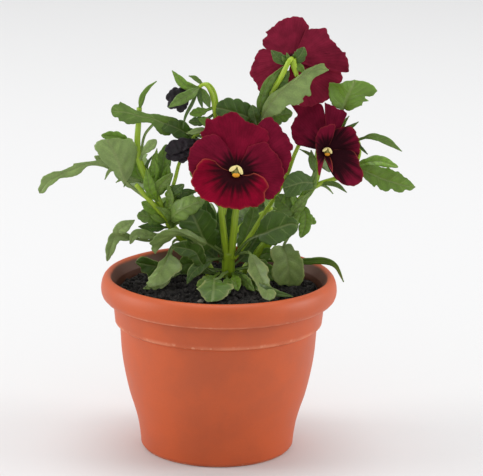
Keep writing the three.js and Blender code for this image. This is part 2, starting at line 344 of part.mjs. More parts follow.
// Open blooms: the middle of each, the side it faces (1 to the viewer, -1 away), the depths its
// hub spans, the size of its eye, its ruffle, and its petals from the rearmost: [layer, lean,
// bearing at the throat where it starts, where it ends, its rim as places [across, up] from the
// middle, in the same order].
const BLOOMS = {
  bloom_front: {
    at: [10.5, 186.5, 15],
    faces: 1,
    hub: [-6, 1.7],
    eye: 1,
    ruffle: 1.4,
    petals: [
      [-3.6, 0.04, 0, 70, [[32.5, -3.5], [36, 6.5], [37.5, 11], [36.5, 14], [38, 15.5], [33, 24.5],
        [29, 31], [23, 35.5], [18, 35], [13.5, 30.5]]],
      [-2, 0.03, 45, 137, [[22, 12], [20.5, 18.5], [22, 22.5], [18.5, 28.5], [11.5, 32], [7.5, 32],
        [2, 36.5], [-2, 40], [-7.5, 37.5], [-15.5, 34.5], [-20, 35], [-21.5, 28], [-23.5, 24],
        [-19, 17]]],
      [-0.6, 0.02, -50, 60, [[15.5, -14.5], [21.5, -19], [26, -16.5], [30, -12], [32, 1],
        [25.5, 13], [22.5, 15.5], [21, 18.5], [15.5, 19], [8, 16.5]]],
      [0.6, 0.02, 97, 200, [[-6.5, 17], [-11, 22], [-16.5, 24], [-22, 22.5], [-25, 20],
        [-30.5, 14], [-32, 7], [-29, -4.5], [-21, -9.5]]],
      [2.4, 0.04, 187, 316, [[-14, 6], [-20, 7.5], [-24, 5], [-28.5, -2.5], [-29, -9.5],
        [-24.5, -17], [-17, -21.5], [-8.5, -24.5], [1, -26], [8.5, -24.5], [13, -24.5],
        [19.5, -19.5], [19.5, -14.5], [21.5, -11], [20, -6], [16, -3], [12, -1.5]]],
    ],
  },
  bloom_top: {
    at: [48, 264.2, -8],
    faces: -1,
    hub: [-5, 1.7],
    eye: 0.9,
    ruffle: 2.2,
    petals: [
      [2.2, -0.48, 150, 235, [[-15.5, 6.5], [-20, 7.5], [-23.5, 3.5], [-27.5, -7.5], [-23.5, -16],
        [-20, -22.5], [-17.5, -26.5], [-9.5, -24]]],
      [-0.6, -0.22, 60, 150, [[8.5, 16.5], [11.5, 22.5], [8, 27.5], [4, 29], [-2, 29], [-9, 25.5],
        [-17, 19], [-16, 16.5], [-19.5, 13.5], [-19.5, 9.5], [-14.5, 5]]],
      [0.8, -0.19, -25, 62, [[22, -6], [37, -7], [38, -0.5], [36, 5.5], [34, 5.5], [28.5, 11.5],
        [24, 18], [23, 21.5], [19, 21.5], [14.5, 21.5], [9, 20.5]]],
      [-2.6, -0.25, -105, -15, [[-4.5, -20], [1, -27.5], [10.5, -30.5], [18.5, -29], [27, -23.5],
        [33.5, -13], [34, -6.5]]],
    ],
  },
  bloom_right: {
    at: [73, 200.8, -2],
    faces: 1,
    hub: [-6, 1.7],
    eye: 0.72,
    ruffle: 1.2,
    petals: [
      [-4, 0.12, 55, 95, [[11, 20.5], [13, 25], [11.5, 27.5], [4.5, 30], [-2, 32.5]]],
      [-2.8, -0.12, 92, 170, [[-0.5, 20.5], [-3, 31], [-7, 33], [-13, 33], [-18, 31.5],
        [-24.5, 32.5], [-20, 25.5], [-24.5, 15.5], [-21, 5.5], [-16, 3.5]]],
      [-0.6, 0.14, -18, 76, [[18.5, -6.5], [22, -0.5], [21.5, 5], [19, 13.5], [15, 16.5],
        [10, 16.5], [5.5, 14.5], [3, 10.5]]],
      [1.6, 0.2, 236, 375, [[-1.5, -5.5], [1, -10.5], [5.5, -18.5], [12.5, -23.5], [18, -23.5],
        [22, -21], [24.5, -16], [21.5, -9], [20.5, -4.5], [17.5, 0], [11.5, 0.5]]],
      [4.2, 0.28, 240, 300, [[-2, -4], [1, -10.5], [3.5, -15]]],
      [3.6, 0.3, 70, 252, [[3.5, 8.5], [5, 16], [2.5, 17.5], [-2, 16], [-6, 13.5], [-8, 7],
        [-7.5, -2], [-6.5, -9.5], [-6, -16], [-5, -17.5]]],
    ],
  },
};

// Spent blooms: each shrivelled petal is [width, degrees turned, places].
const BUDS = {
  bud_upper: {
    at: [-20.5, 239.5, -6],
    petals: [
      [9, 0, [[-20, 240, -5.5], [-29, 238.5, -3.5], [-38.5, 235.5, -3]]],
      [9, 0, [[-20, 239, -6.5], [-27, 233, -5], [-28.5, 226, -5]]],
      [10, 20, [[-20.5, 239.5, -7.5], [-30, 234, -7], [-37, 229.5, -7]]],
      [8, -20, [[-20.5, 240, -7], [-29, 240, -8], [-36.5, 239.5, -8]]],
    ],
  },
  bud_lower: {
    at: [-15.5, 206, -5],
    petals: [
      [10, 0, [[-15, 206.5, -5], [-27, 204, -2], [-38.5, 199.5, -1]]],
      [10, 0, [[-15, 205.5, -5], [-27, 198.5, -2], [-38, 195, -1.5]]],
      [10, 20, [[-16, 205, -6], [-24, 198, -4], [-28, 191.5, -4]]],
      [9, -20, [[-16, 205.5, -6], [-26, 200, -5.5], [-34, 193, -5.5]]],
    ],
  },
};

// A place in the layout, carried along the line of sight from the eye to its depth.
function seen([across, up, out]) {
  const flat = AIM.clone().addScaledVector(ACROSS, across).addScaledVector(UPWARD, up - AIM_UP);
  const share = (-out - flat.y) / (EYE.y - flat.y);
  return flat.lerp(EYE, share);
}

function solidFrom(points, faces) {
  const vertProperties = new Float32Array(points.flatMap((p) => [p.x, p.y, p.z]));
  const triVerts = new Uint32Array(faces);
  return new wasm.Manifold(new wasm.Mesh({ numProp: 3, vertProperties, triVerts }));
}

// A closed body from rings of points set one over another, each turned the same way round. A ring
// of a single point closes an end.
function stackRings(rings) {
  const sides = Math.max(...rings.map((ring) => ring.length));
  const faces = [];
  let low = 0;
  for (let i = 0; i < rings.length - 1; i++) {
    const lower = rings[i].length;
    const higher = rings[i + 1].length;
    const high = low + lower;
    for (let k = 0; k < sides; k++) {
      const a = low + (k % lower);
      const b = low + ((k + 1) % lower);
      const c = high + ((k + 1) % higher);
      const d = high + (k % higher);
      if (a !== b) faces.push(a, b, c);
      if (c !== d) faces.push(a, c, d);
    }
    low = high;
  }
  return solidFrom(rings.flat(), faces);
}

// A closed sheet from two like grids of points, front and back, joined round their edge.
function closeSheet(front, back) {
  const rows = front.length;
  const columns = front[0].length;
  const count = rows * columns;
  const faces = [];
  const rim = [];
  for (let i = 0; i < rows - 1; i++) {
    for (let j = 0; j < columns - 1; j++) {
      const a = i * columns + j;
      const b = a + 1;
      const d = a + columns;
      const c = d + 1;
      faces.push(a, b, c, a, c, d, a + count, c + count, b + count, a + count, d + count, c + count);
    }
  }
  for (let j = 0; j < columns - 1; j++) rim.push(j);
  for (let i = 0; i < rows - 1; i++) rim.push(i * columns + columns - 1);
  for (let j = columns - 1; j > 0; j--) rim.push((rows - 1) * columns + j);
  for (let i = rows - 1; i > 0; i--) rim.push(i * columns);
  rim.forEach((p, k) => {
    const q = rim[(k + 1) % rim.length];
    faces.push(q, p, p + count, q, p + count, q + count);
  });
  return solidFrom([...front.flat(), ...back.flat()], faces);
}

// Upright ring of points round the Z axis through (x, y).
function levelRing(radius, height, sides, x = 0, y = 0) {
  return Array.from({ length: radius > 0 ? sides : 1 }, (_, k) => {
    const angle = (2 * Math.PI * k) / sides;
    const place = new THREE.Vector3(x + radius * Math.cos(angle), y + radius * Math.sin(angle), 0);
    place.z = typeof height === "function" ? height(place.x, place.y) : height;
    return place;
  });
}

function uprightCylinder(radius, low, high, sides, x, y) {
  const rings = [[0, low], [radius, low], [radius, high], [0, high]];
  return stackRings(rings.map(([wide, height]) => levelRing(wide, height, sides, x, y)));
}

// Points of a smooth line through the places, with the directions along it, out of its face and
// across it. The face looks to the eye in the middle of the line, turned by the angle given. The
// shares are of the line's length, or else of the places passed.
function framesAlong(places, shares, turn, byLength) {
  const curve = new THREE.CatmullRomCurve3(places.map(seen), false, "catmullrom", 0.5);
  const along = shares.map((t) => (byLength ? curve.getTangentAt(t) : curve.getTangent(t)));
  const level = (v, t) => v.clone().addScaledVector(t, -v.dot(t)).normalize();
  const middle = shares.findIndex((share) => share >= 0.5);
  const toEye = level(TO_EYE, along[middle]);
  const side = along[middle].clone().cross(toEye);
  const face = [];
  const angle = THREE.MathUtils.degToRad(turn);
  face[middle] = toEye.multiplyScalar(Math.cos(angle)).addScaledVector(side, Math.sin(angle));
  for (let i = middle + 1; i < shares.length; i++) face[i] = level(face[i - 1], along[i]);
  for (let i = middle - 1; i >= 0; i--) face[i] = level(face[i + 1], along[i]);
  return shares.map((share, i) => ({
    share,
    at: byLength ? curve.getPointAt(share) : curve.getPoint(share),
    along: along[i],
    face: face[i],
    side: along[i].clone().cross(face[i]),
  }));
}

// The way from a leaf's midrib to its rim, a smooth line through its places walked at the midrib's
// pace. The rim keeps the midrib's depth, leant with the distance between them.
function reachRim(rim, open, at, lean) {
  const line = new THREE.CatmullRomCurve3(rim.map(([x, y]) => new THREE.Vector3(x, y, 0)));
  const { x, y } = line.getPointAt(open);
  const away = seen([x, y, -at.y]).distanceTo(at);
  return seen([x, y, -at.y - lean * away]).sub(at);
}

// A leaf or sepal: a stalk that opens into a blade, folded along its midrib and cupped. The blade
// has an even toothed outline, or reaches to its left and right rims.
function blade([kind, wide, turn, fold, stalk, places, rims]) {
  const { skew, fullness, teeth, bite } = OUTLINES[kind];
  const steps = teeth ? 2 * teeth + 1 : PLAIN_STEPS;
  const shares = stalk > 0 ? [0] : [];
  if (stalk > LONG_STALK) shares.push(stalk / 2);
  for (let k = 0; k <= steps; k++) shares.push(Math.min(1, stalk + ((1 - stalk) * k) / steps));
  const columns = wide > NARROW ? [-1, 0, 1] : [-1, 1];
  const angle = THREE.MathUtils.degToRad(turn);
  const front = [];
  const back = [];
  for (const { share, at, face, side } of framesAlong(places, shares, turn, true)) {
    const open = Math.max(0, (share - stalk) / (1 - stalk));
    const tooth = 1 - bite * (1 - Math.abs(Math.sin(Math.PI * (teeth + 0.5) * open)) ** TOOTH_ROUND);
    const outline = Math.max(0, Math.sin(Math.PI * open ** skew)) ** fullness * tooth;
    const least = THREE.MathUtils.lerp(STALK_HALF, TIP_HALF, open);
    const thick = THREE.MathUtils.lerp(STALK_HALF_THICK, BLADE_HALF_THICK, Math.min(1, 3 * open));
    const edge = (s) => {
      const plain = side.clone().multiplyScalar(s * Math.max((wide / 2) * outline, least));
      if (!rims || s === 0 || open === 0) return plain;
      const right = s * Math.cos(angle) > 0;
      const lean = Math.tan(angle) * (right ? 1 : -1);
      const reached = reachRim(rims[right ? 1 : 0], open, at, lean);
      return reached.length() > least ? reached : side.clone().multiplyScalar(s * least);
    };
    const row = (lift) =>
      columns.map((s) => {
        const across = edge(s);
        const rise = s === 0 ? 0 : across.length() * (fold + BLADE_CUP);
        return at.clone().addScaledVector(across, Math.abs(s)).addScaledVector(face, rise + lift);
      });
    front.push(row(thick));
    back.push(row(-thick));
  }
  return closeSheet(front, back);
}

// A stem that tapers from its foot to its tip.
function stem([foot, tip, places]) {
  const shares = places.map((_, i) => i / (places.length - 1));
  const rings = framesAlong(places, shares, 0, false).map(({ share, at, face, side }) =>
    ringAbout(at, face, side, THREE.MathUtils.lerp(foot, tip, share), STEM_SIDES),
  );
  const ends = [seen(places[0]), seen(places[places.length - 1])];
  return stackRings([[ends[0]], ...rings, [ends[1]]]);
}

function ringAbout(at, first, second, radius, sides) {
  return Array.from({ length: sides }, (_, k) => {
    const angle = (2 * Math.PI * k) / sides;
    const out = at.clone().addScaledVector(first, radius * Math.cos(angle));
    return out.addScaledVector(second, radius * Math.sin(angle));
  });
}

// A round boss on a bloom's axis, given as [radius, depth] toward the side the bloom faces.
function boss(middle, faces, profile, sides) {
  const axis = TO_EYE.clone().multiplyScalar(faces);
  const second = axis.clone().cross(ACROSS);
  const rings = profile.map(([radius, depth]) => {
    const at = middle.clone().addScaledVector(axis, depth);
    return radius > 0 ? ringAbout(at, ACROSS, second, radius, sides) : [at];
  });
  return stackRings(rings);
}

// A petal: a sheet that spreads from the throat to its rim, in its own layer of the bloom, with
// the ruffle that all the petals of one bloom share. Each of its lines turns evenly on the way out.
function petal(middle, [layer, lean, from, to, rim], ruffle) {
  const runs = [0];
  for (let j = 1; j < rim.length; j++) {
    runs.push(runs[j - 1] + Math.hypot(rim[j][0] - rim[j - 1][0], rim[j][1] - rim[j - 1][1]));
  }
  let reached = from;
  const lines = rim.map(([x, y], j) => {
    const start = THREE.MathUtils.lerp(from, to, runs[j] / runs.at(-1));
    const bearing = THREE.MathUtils.radToDeg(Math.atan2(y, x));
    reached = bearing + FULL_TURN * Math.round((reached - bearing) / FULL_TURN);
    return [start, reached, Math.hypot(x, y)];
  });
  lines.reverse();
  const front = [];
  const back = [];
  for (let i = 0; i <= PETAL_ROWS; i++) {
    const spread = (lift) =>
      lines.map(([start, end, edge]) => {
        const radius = THREE.MathUtils.lerp(THROAT, edge, i / PETAL_ROWS);
        const angle = THREE.MathUtils.degToRad(THREE.MathUtils.lerp(start, end, i / PETAL_ROWS));
        const wave = ruffle * (radius / RUFFLE_SPAN) ** 2 * Math.sin(RUFFLES * angle);
        const clear = radius - THROAT;
        const depth = layer * Math.min(1, clear / LAYER_RISE) + lean * clear + wave + lift;
        return middle
          .clone()
          .addScaledVector(ACROSS, radius * Math.cos(angle))
          .addScaledVector(UPWARD, radius * Math.sin(angle))
          .addScaledVector(TO_EYE, depth);
      });
    front.push(spread(PETAL_HALF_THICK));
    back.push(spread(-PETAL_HALF_THICK));
  }
  return closeSheet(front, back);
}

// Crumbled top of the soil: a low mound at the crown of the plant, with small lumps.
function soilTop(x, y) {
  const away = (x - MOUND.x) ** 2 + (y - MOUND.y) ** 2;
  const { x: alongX, start, y: alongY, slant, share } = LUMP_WAVES;
  const checks = Math.sin(alongX * x + start) * Math.cos(alongY * y);
  const lumps = checks + share * Math.sin(slant * (x + 2 * y));
  return SOIL_LEVEL + MOUND.height * Math.exp(-away / MOUND.spread ** 2) + LUMP * lumps;
}

// The largest closed body of a fused solid, with the loose scraps and sealed hollows left out.
function mainBody(fused) {
  const { vertProperties, triVerts, numProp } = fused.getMesh();
  const group = Array.from({ length: vertProperties.length / numProp }, (_, i) => i);
  const find = (i) => {
    while (group[i] !== i) i = group[i] = group[group[i]];
    return i;
  };
  for (let t = 0; t < triVerts.length; t += 3) {
    group[find(triVerts[t + 1])] = find(triVerts[t]);
    group[find(triVerts[t + 2])] = find(triVerts[t]);
  }
  const counts = new Map();
  triVerts.forEach((v) => counts.set(find(v), (counts.get(find(v)) ?? 0) + 1));
  const [largest] = [...counts].reduce((best, entry) => (entry[1] > best[1] ? entry : best));
  const kept = Array.from(triVerts).filter((v) => find(v) === largest);
  const positions = new Float32Array(kept.length * 3);
  kept.forEach((v, i) => positions.set(vertProperties.subarray(v * numProp, v * numProp + 3), 3 * i));
  const geometry = new THREE.BufferGeometry();
  geometry.setAttribute("position", new THREE.BufferAttribute(positions, 3));
  return mergeVertices(geometry);
}

const fuse = (pieces) => pieces.reduce((whole, piece) => whole.add(piece));
const cut = (whole, pieces) => pieces.reduce((rest, piece) => rest.subtract(piece), whole);

function finish(colour, roughness) {
  return () => new THREE.MeshStandardMaterial({ color: colour, roughness, metalness: 0 });
}
const FINISHES = {
  pot: finish(0xb9603d, 0.5),
  soil: finish(0x2d2a29, 0.95),
  foliage: finish(0x4f8f2f, 0.55),
  petals: finish(0x7d1224, 0.6),
  spent: finish(0x24121c, 0.7),
  eye: finish(0xd9b53a, 0.6),
};

const planter = new THREE.Group();
function addNode(name, solid, look) {
  const mesh = new THREE.Mesh(mainBody(solid), FINISHES[look]());
  mesh.name = name;
  planter.add(mesh);
}

const potWall = POT_PROFILE.map(([radius, height]) => levelRing(radius, height, POT_SIDES));
const drains = Array.from({ length: DRAIN_HOLES }, (_, k) => {
  const angle = (2 * Math.PI * k) / DRAIN_HOLES;
  const [x, y] = [DRAIN_RING * Math.cos(angle), DRAIN_RING * Math.sin(angle)];
  return uprightCylinder(DRAIN_RADIUS, ...DRAIN_SPAN, DRAIN_SIDES, x, y);
});
addNode("pot", cut(stackRings(potWall), drains), "pot");

const soilSide = SOIL_PROFILE.map(([radius, height]) => levelRing(radius, height, POT_SIDES));
const soilCrumb = SOIL_RINGS.map((radius) => levelRing(radius, soilTop, POT_SIDES));
const stemHoles = Object.values(SHOOTS).map(({ stems }) => {
  const [radius, , places] = stems[0];
  const foot = seen(places[0]);
  const low = foot.z - HOLE_FLOOR;
  return uprightCylinder(radius + HOLE_CLEARANCE, low, low + HOLE_REACH, HOLE_SIDES, foot.x, foot.y);
});
addNode("soil", cut(stackRings([...soilSide, ...soilCrumb.reverse()]), stemHoles), "soil");

for (const [name, { stems, leaves }] of Object.entries(SHOOTS)) {
  addNode(name, fuse([...stems.map(stem), ...leaves.map(blade)]), "foliage");
}

for (const [name, { at, faces, hub, eye, ruffle, petals }] of Object.entries(BLOOMS)) {
  const middle = seen(at);
  const profile = [[0, hub[0]], [HUB_RADIUS - HUB_BEVEL, hub[0]], [HUB_RADIUS, hub[1]], [0, hub[1]]];
  const sheets = petals.map((shape) => petal(middle, shape, ruffle));
  addNode(name, fuse([boss(middle, faces, profile, HUB_SIDES), ...sheets]), "petals");
  const cushion = EYE_PROFILE.map(([radius, depth]) => [eye * radius, hub[1] + depth]);
  addNode(name + "_eye", boss(middle, faces, cushion, EYE_SIDES), "eye");
}

for (const [name, { at, petals }] of Object.entries(BUDS)) {
  const husks = petals.map(([wide, turn, places]) => blade(["husk", wide, turn, HUSK_FOLD, 0, places]));
  addNode(name, fuse([boss(seen(at), 1, BUD_PROFILE, HUB_SIDES), ...husks]), "spent");
}

export default planter;
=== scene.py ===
"""A pansy in bloom in a round bell pot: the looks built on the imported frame.

The plant's layout is the one its solids were made from, in millimetres; every surface here is a
finer version of the same forms, with veins, teeth, ruffles, crumbs and worn plastic added.
"""

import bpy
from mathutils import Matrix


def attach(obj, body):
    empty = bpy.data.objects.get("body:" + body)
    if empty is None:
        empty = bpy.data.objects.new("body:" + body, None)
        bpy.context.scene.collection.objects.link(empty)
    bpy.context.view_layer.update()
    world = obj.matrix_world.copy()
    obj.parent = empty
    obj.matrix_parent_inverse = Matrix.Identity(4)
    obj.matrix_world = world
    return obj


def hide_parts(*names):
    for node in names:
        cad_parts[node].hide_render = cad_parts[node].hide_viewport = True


bl_info = {
    "name": "Potted pansy",
    "version": (1, 0, 0),
    "blender": (4, 5, 0),
    "location": "3D View > Sidebar > Potted pansy",
    "description": "Builds a pansy with open blooms, spent buds and leafy shoots in its bell pot",
    "category": "Add Mesh",
}

import math

import bpy
import numpy as np
from mathutils import Matrix, Vector

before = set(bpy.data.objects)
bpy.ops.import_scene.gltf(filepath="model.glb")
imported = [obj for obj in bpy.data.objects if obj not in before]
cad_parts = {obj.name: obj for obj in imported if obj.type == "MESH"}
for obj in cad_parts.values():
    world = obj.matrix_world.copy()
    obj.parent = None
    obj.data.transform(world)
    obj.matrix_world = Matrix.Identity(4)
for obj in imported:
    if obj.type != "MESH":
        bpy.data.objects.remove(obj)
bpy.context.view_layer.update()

MM = 0.001
# Steps between two places of a smooth curve, and the range of wave sizes in one noise.
CURVE_STEPS = 48
WAVE_SPREAD = (0.6, 1.6)
PHOTO_WIDTH = 483
PHOTO_HEIGHT = 476

# The eye point the plant is laid out from: its rise above the level and its distance in
# millimetres. Places are [across, up, out] as seen from there.
VIEW_RISE = math.radians(17.5)
EYE_DISTANCE = 1600.0
AIM = np.array([0.0, 0.0, 60.0])
TO_EYE = np.array([0.0, -math.cos(VIEW_RISE), math.sin(VIEW_RISE)])
ACROSS = np.array([1.0, 0.0, 0.0])
UPWARD = np.array([0.0, math.sin(VIEW_RISE), math.cos(VIEW_RISE)])
EYE = AIM + TO_EYE * EYE_DISTANCE
AIM_UP = AIM[2] * math.cos(VIEW_RISE)

# Camera: its focal length in picture widths, the pixel the aim point lands on, and its roll.
LENS_WIDTHS = 2334 / PHOTO_WIDTH
AIM_PIXEL = (218.0, 358.7)
CAMERA_ROLL = math.radians(0.8)
SENSOR = 36.0

# Lamps: [name, place, width, power, colour], in metres and watts, aimed at one lit place.
LAMPS = (
    ("soft_left", (-3.6, -0.1, 1.3), 2.0, 62.0, (1.0, 0.99, 0.97)),
    ("soft_right", (3.6, -0.1, 1.3), 2.0, 52.0, (1.0, 0.99, 0.98)),
    ("soft_above", (0.0, 0.6, 3.0), 2.4, 38.0, (1.0, 1.0, 1.0)),
)
LIT_PLACE = Vector((0, 0, 0.15))
SKY_STRENGTH = 0.65
FLOOR_COLOUR = (0.76, 0.762, 0.768, 1)
FLOOR_LEVEL = -0.0003
FLOOR_SIDES = 96
FLOOR_RINGS = 8

# Pot: smooth runs of [radius, height] that meet in crisp corners, from the middle of the foot up
# the outside, over the rim and down the inside.
POT_RUNS = [
    [[0, 0], [50.8, 0]],
    [[50.8, 0], [52.2, 2]],
    [[52.2, 2], [52.9, 9], [54.6, 19], [57.2, 28.5], [60.5, 39], [63.7, 53.5], [65.8, 67],
     [66.8, 81], [67.3, 86.2]],
    [[67.3, 86.2], [70.4, 88]],
    [[70.4, 88], [71.4, 99], [71.6, 109]],
    [[71.6, 109], [76.6, 109]],
    [[76.6, 109], [76.7, 106], [77.4, 104.2]],
    [[77.4, 104.2], [79.4, 107], [80, 111.5], [78.9, 116.8], [76.5, 119.9], [74.6, 120.3],
     [73.4, 118.6], [72, 115.5], [70.4, 112]],
    [[70.4, 112], [69.3, 99], [68.3, 89]],
    [[68.3, 89], [64.8, 85]],
    [[64.8, 85], [63.7, 67], [61.6, 53.5], [58.3, 39], [55, 28.5], [52.4, 19], [50.7, 9], [49.8, 3]],
    [[49.8, 3], [0, 3]],
]
POT_SIDES = 192
POT_STEP = 2.4
CORNER_INSET = 0.4
POT_UV_SPAN = (6.3, 120)
# The ring on which the nicks' noise is read, the nicked corners as [radius, height, spread
# across, spread up], and the worn corners as [radius, height].
NICK_RING = 60
RIM_LIP = (77.0, 104.4, 1.2, 1.0)
STEP_EDGE = (70.4, 88.0, 0.8, 0.7)
STEP_SHARE = 0.5
WORN_CORNERS = ((71.2, 119.4), (77.4, 104.2), (70.4, 88.0), (50.8, 0.0))
WEAR_SPREAD = (1.5, 1.2)
DRAIN_HOLES = 6
DRAIN_RING = 32.0
DRAIN_RADIUS = 4.0
DRAIN_SPAN = (-1, 5)
DRAIN_SIDES = 24

SOIL_PROFILE = [[0, 3.35], [49.4, 3.35], [52, 19], [57.9, 39], [61.2, 53.5], [63.3, 67],
                [64.4, 85.1], [67.9, 89.1]]
SOIL_RADIUS = 69.4
SOIL_LEVEL = 107.0
MOUND = {"x": 4.0, "y": 20.0, "height": 4.5, "spread": 45.0}
LUMP = 0.7
LUMP_WAVES = {"x": 0.31, "start": 0.9, "y": 0.27, "slant": 0.17, "share": 0.6}
SOIL_SIDES = 150
SOIL_RINGS = 66
SOIL_HUB = 0.4
SOIL_SINK = 0.3
# The crumbled top's waves: [share of the relief, size, number of waves, seed].
SOIL_NOISE = ((0.44, 12.0, 14, 1), (0.55, 4.5, 18, 2), (0.495, 1.9, 24, 5))
# Crumbs: how far they lie out, how much they differ in size, in stretch and from point to point,
# how high they sit, and the share of them that is plain soil.
CRUMB_REACH = 68.0
CRUMB_SIZES = (0.35, 1.2)
CRUMB_STRETCH = (0.5, 1.3)
CRUMB_LUMPS = (0.75, 1.2)
CRUMB_RISE = 0.3
COMMON_CRUMBS = 0.985

# Leaf outlines: where the widest place lies, how full the outline is, and the number and depth
# of the rounded teeth along each side.
OUTLINES = {
    "round": {"skew": 1.25, "fullness": 0.42, "teeth": 4, "bite": 0.16},
    "oval": {"skew": 1.0, "fullness": 0.6, "teeth": 3, "bite": 0.15},
    "fan": {"skew": 2.1, "fullness": 0.6, "teeth": 4, "bite": 0.16},
    "spoon": {"skew": 1.9, "fullness": 0.6, "teeth": 3, "bite": 0.14},
    "lance": {"skew": 0.95, "fullness": 0.85, "teeth": 2, "bite": 0.12},
    "thin": {"skew": 0.8, "fullness": 0.8, "teeth": 0, "bite": 0.0},
    "husk": {"skew": 1.5, "fullness": 0.5, "teeth": 3, "bite": 0.16},
}
# Leaves: half widths and half thicknesses, then the height of the cup and of the pillows.
STALK_HALF = 0.9
TIP_HALF = 0.35
BLADE_HALF_THICK = 0.35
STALK_HALF_THICK = 0.8
BLADE_CUP = 0.12
PILLOW = 0.55
# Leaves that hang near the soil have a paler margin.
OLD_LEAF_LEVEL = 106.0
OLD_LEAF_SPAN = 12.0
# The grid of a leaf: its step along and across, with the least and most of each.
LEAF_STEP = 0.7
LEAF_ROWS = (16, 90)
COLUMN_WIDTH = 2.0
LEAF_HALF_COLUMNS = (2, 9)
# Teeth, the notches of an outline that was read, the veins, the wavy edge and the wrinkles.
TOOTH = {"depths": (0.6, 1.9), "most": 16, "lean": 1.4, "roundness": 0.6}
RIM_STEPS = 240
NOTCH = {"length": 3.6, "depth": 0.05}
VEIN_SLANT = 0.7
VEIN_PAIRS = 7
DRAWN_VEINS = 6
RIPPLE = {"waves": 2.2, "depth": 0.09}
FOLD_ROUND = 0.1
EDGE_THINNING = 0.6
RIB = {"depth": 0.35, "half": 0.8}
WRINKLE_SIZE = 3.0
WRINKLE_WAVES = 12

# Stems: their rings and sides, and the soft ridges that wind up them.
STEM_STEP = 1.6
FEWEST_STEM_RINGS = 8
STEM_SIDES = 14
STEM_UV_SPAN = 20
RIDGES = {"count": 3, "depth": 0.05, "twist": 5}
MAIN_STEM_TONE = 0.35
SIDE_STEM_TONE = 0.8

# Petals: a fan of lines from the throat to the rim, with ruffles, creases and a curled rim.
PETAL_HALF_THICK = 0.35
THROAT = 2.2
LAYER_RISE = 7.0
RUFFLES = 5
FINE_RUFFLES = 13
RUFFLE_SPAN = 36.0
# Nicks along a petal's rim: [depth as a share of its reach, waves in a full turn].
PETAL_NICKS = ((0.012, 13), (0.009, 31), (0.006, 57))
# Rays of the blotch: [share of the way out, waves in a full turn, phase].
PETAL_RAYS = ((0.12, 19, 0), (0.1, 31, 1))
PETAL_STEP = 0.9
PETAL_COLUMNS = (24, 150)
PETAL_ROWS = 30
CREASES = 26
CREASE_DEPTH = 0.22
CURLS = 14
CURL = 0.5
CURL_START = 0.86
MARGIN = 0.9
MARGIN_FADE = 0.5

# The boss and the eye on it.
HUB_RADIUS = 3.4
EYE_RISE = 0.35
BOSS_SIDES = 24
DOME_ROWS = 14
DOME_SIDES = 22
# The spent bloom's knob: [radius, depth].
KNOB_PROFILE = [[0.8, -2.3], [1.8, -1.6], [2.4, 0], [1.8, 1.6], [0.8, 2.3]]

# The eye's lobes: [across, up, degrees turned, half length, half width, height, rise, tone]; the
# olive floor, two cream beards that meet above it, the yellow lip below and the stigma.
EYE_LOBES = [
    [0.3, -0.8, 90, 3.5, 3.3, 0.9, 0.0, 3.0],
    [-2.1, 1.1, 215, 2.9, 1.5, 1.0, 0.4, 2.0],
    [2.9, 0.0, 295, 3.1, 1.4, 1.0, 0.4, 2.0],
    [0.5, 2.7, 0, 1.3, 0.8, 0.8, 0.4, 2.2],
    [0.1, -3.1, 0, 2.5, 1.6, 1.0, 0.3, 0.6],
    [0.2, -1.0, 90, 1.7, 1.3, 0.8, 0.5, 2.85],
]

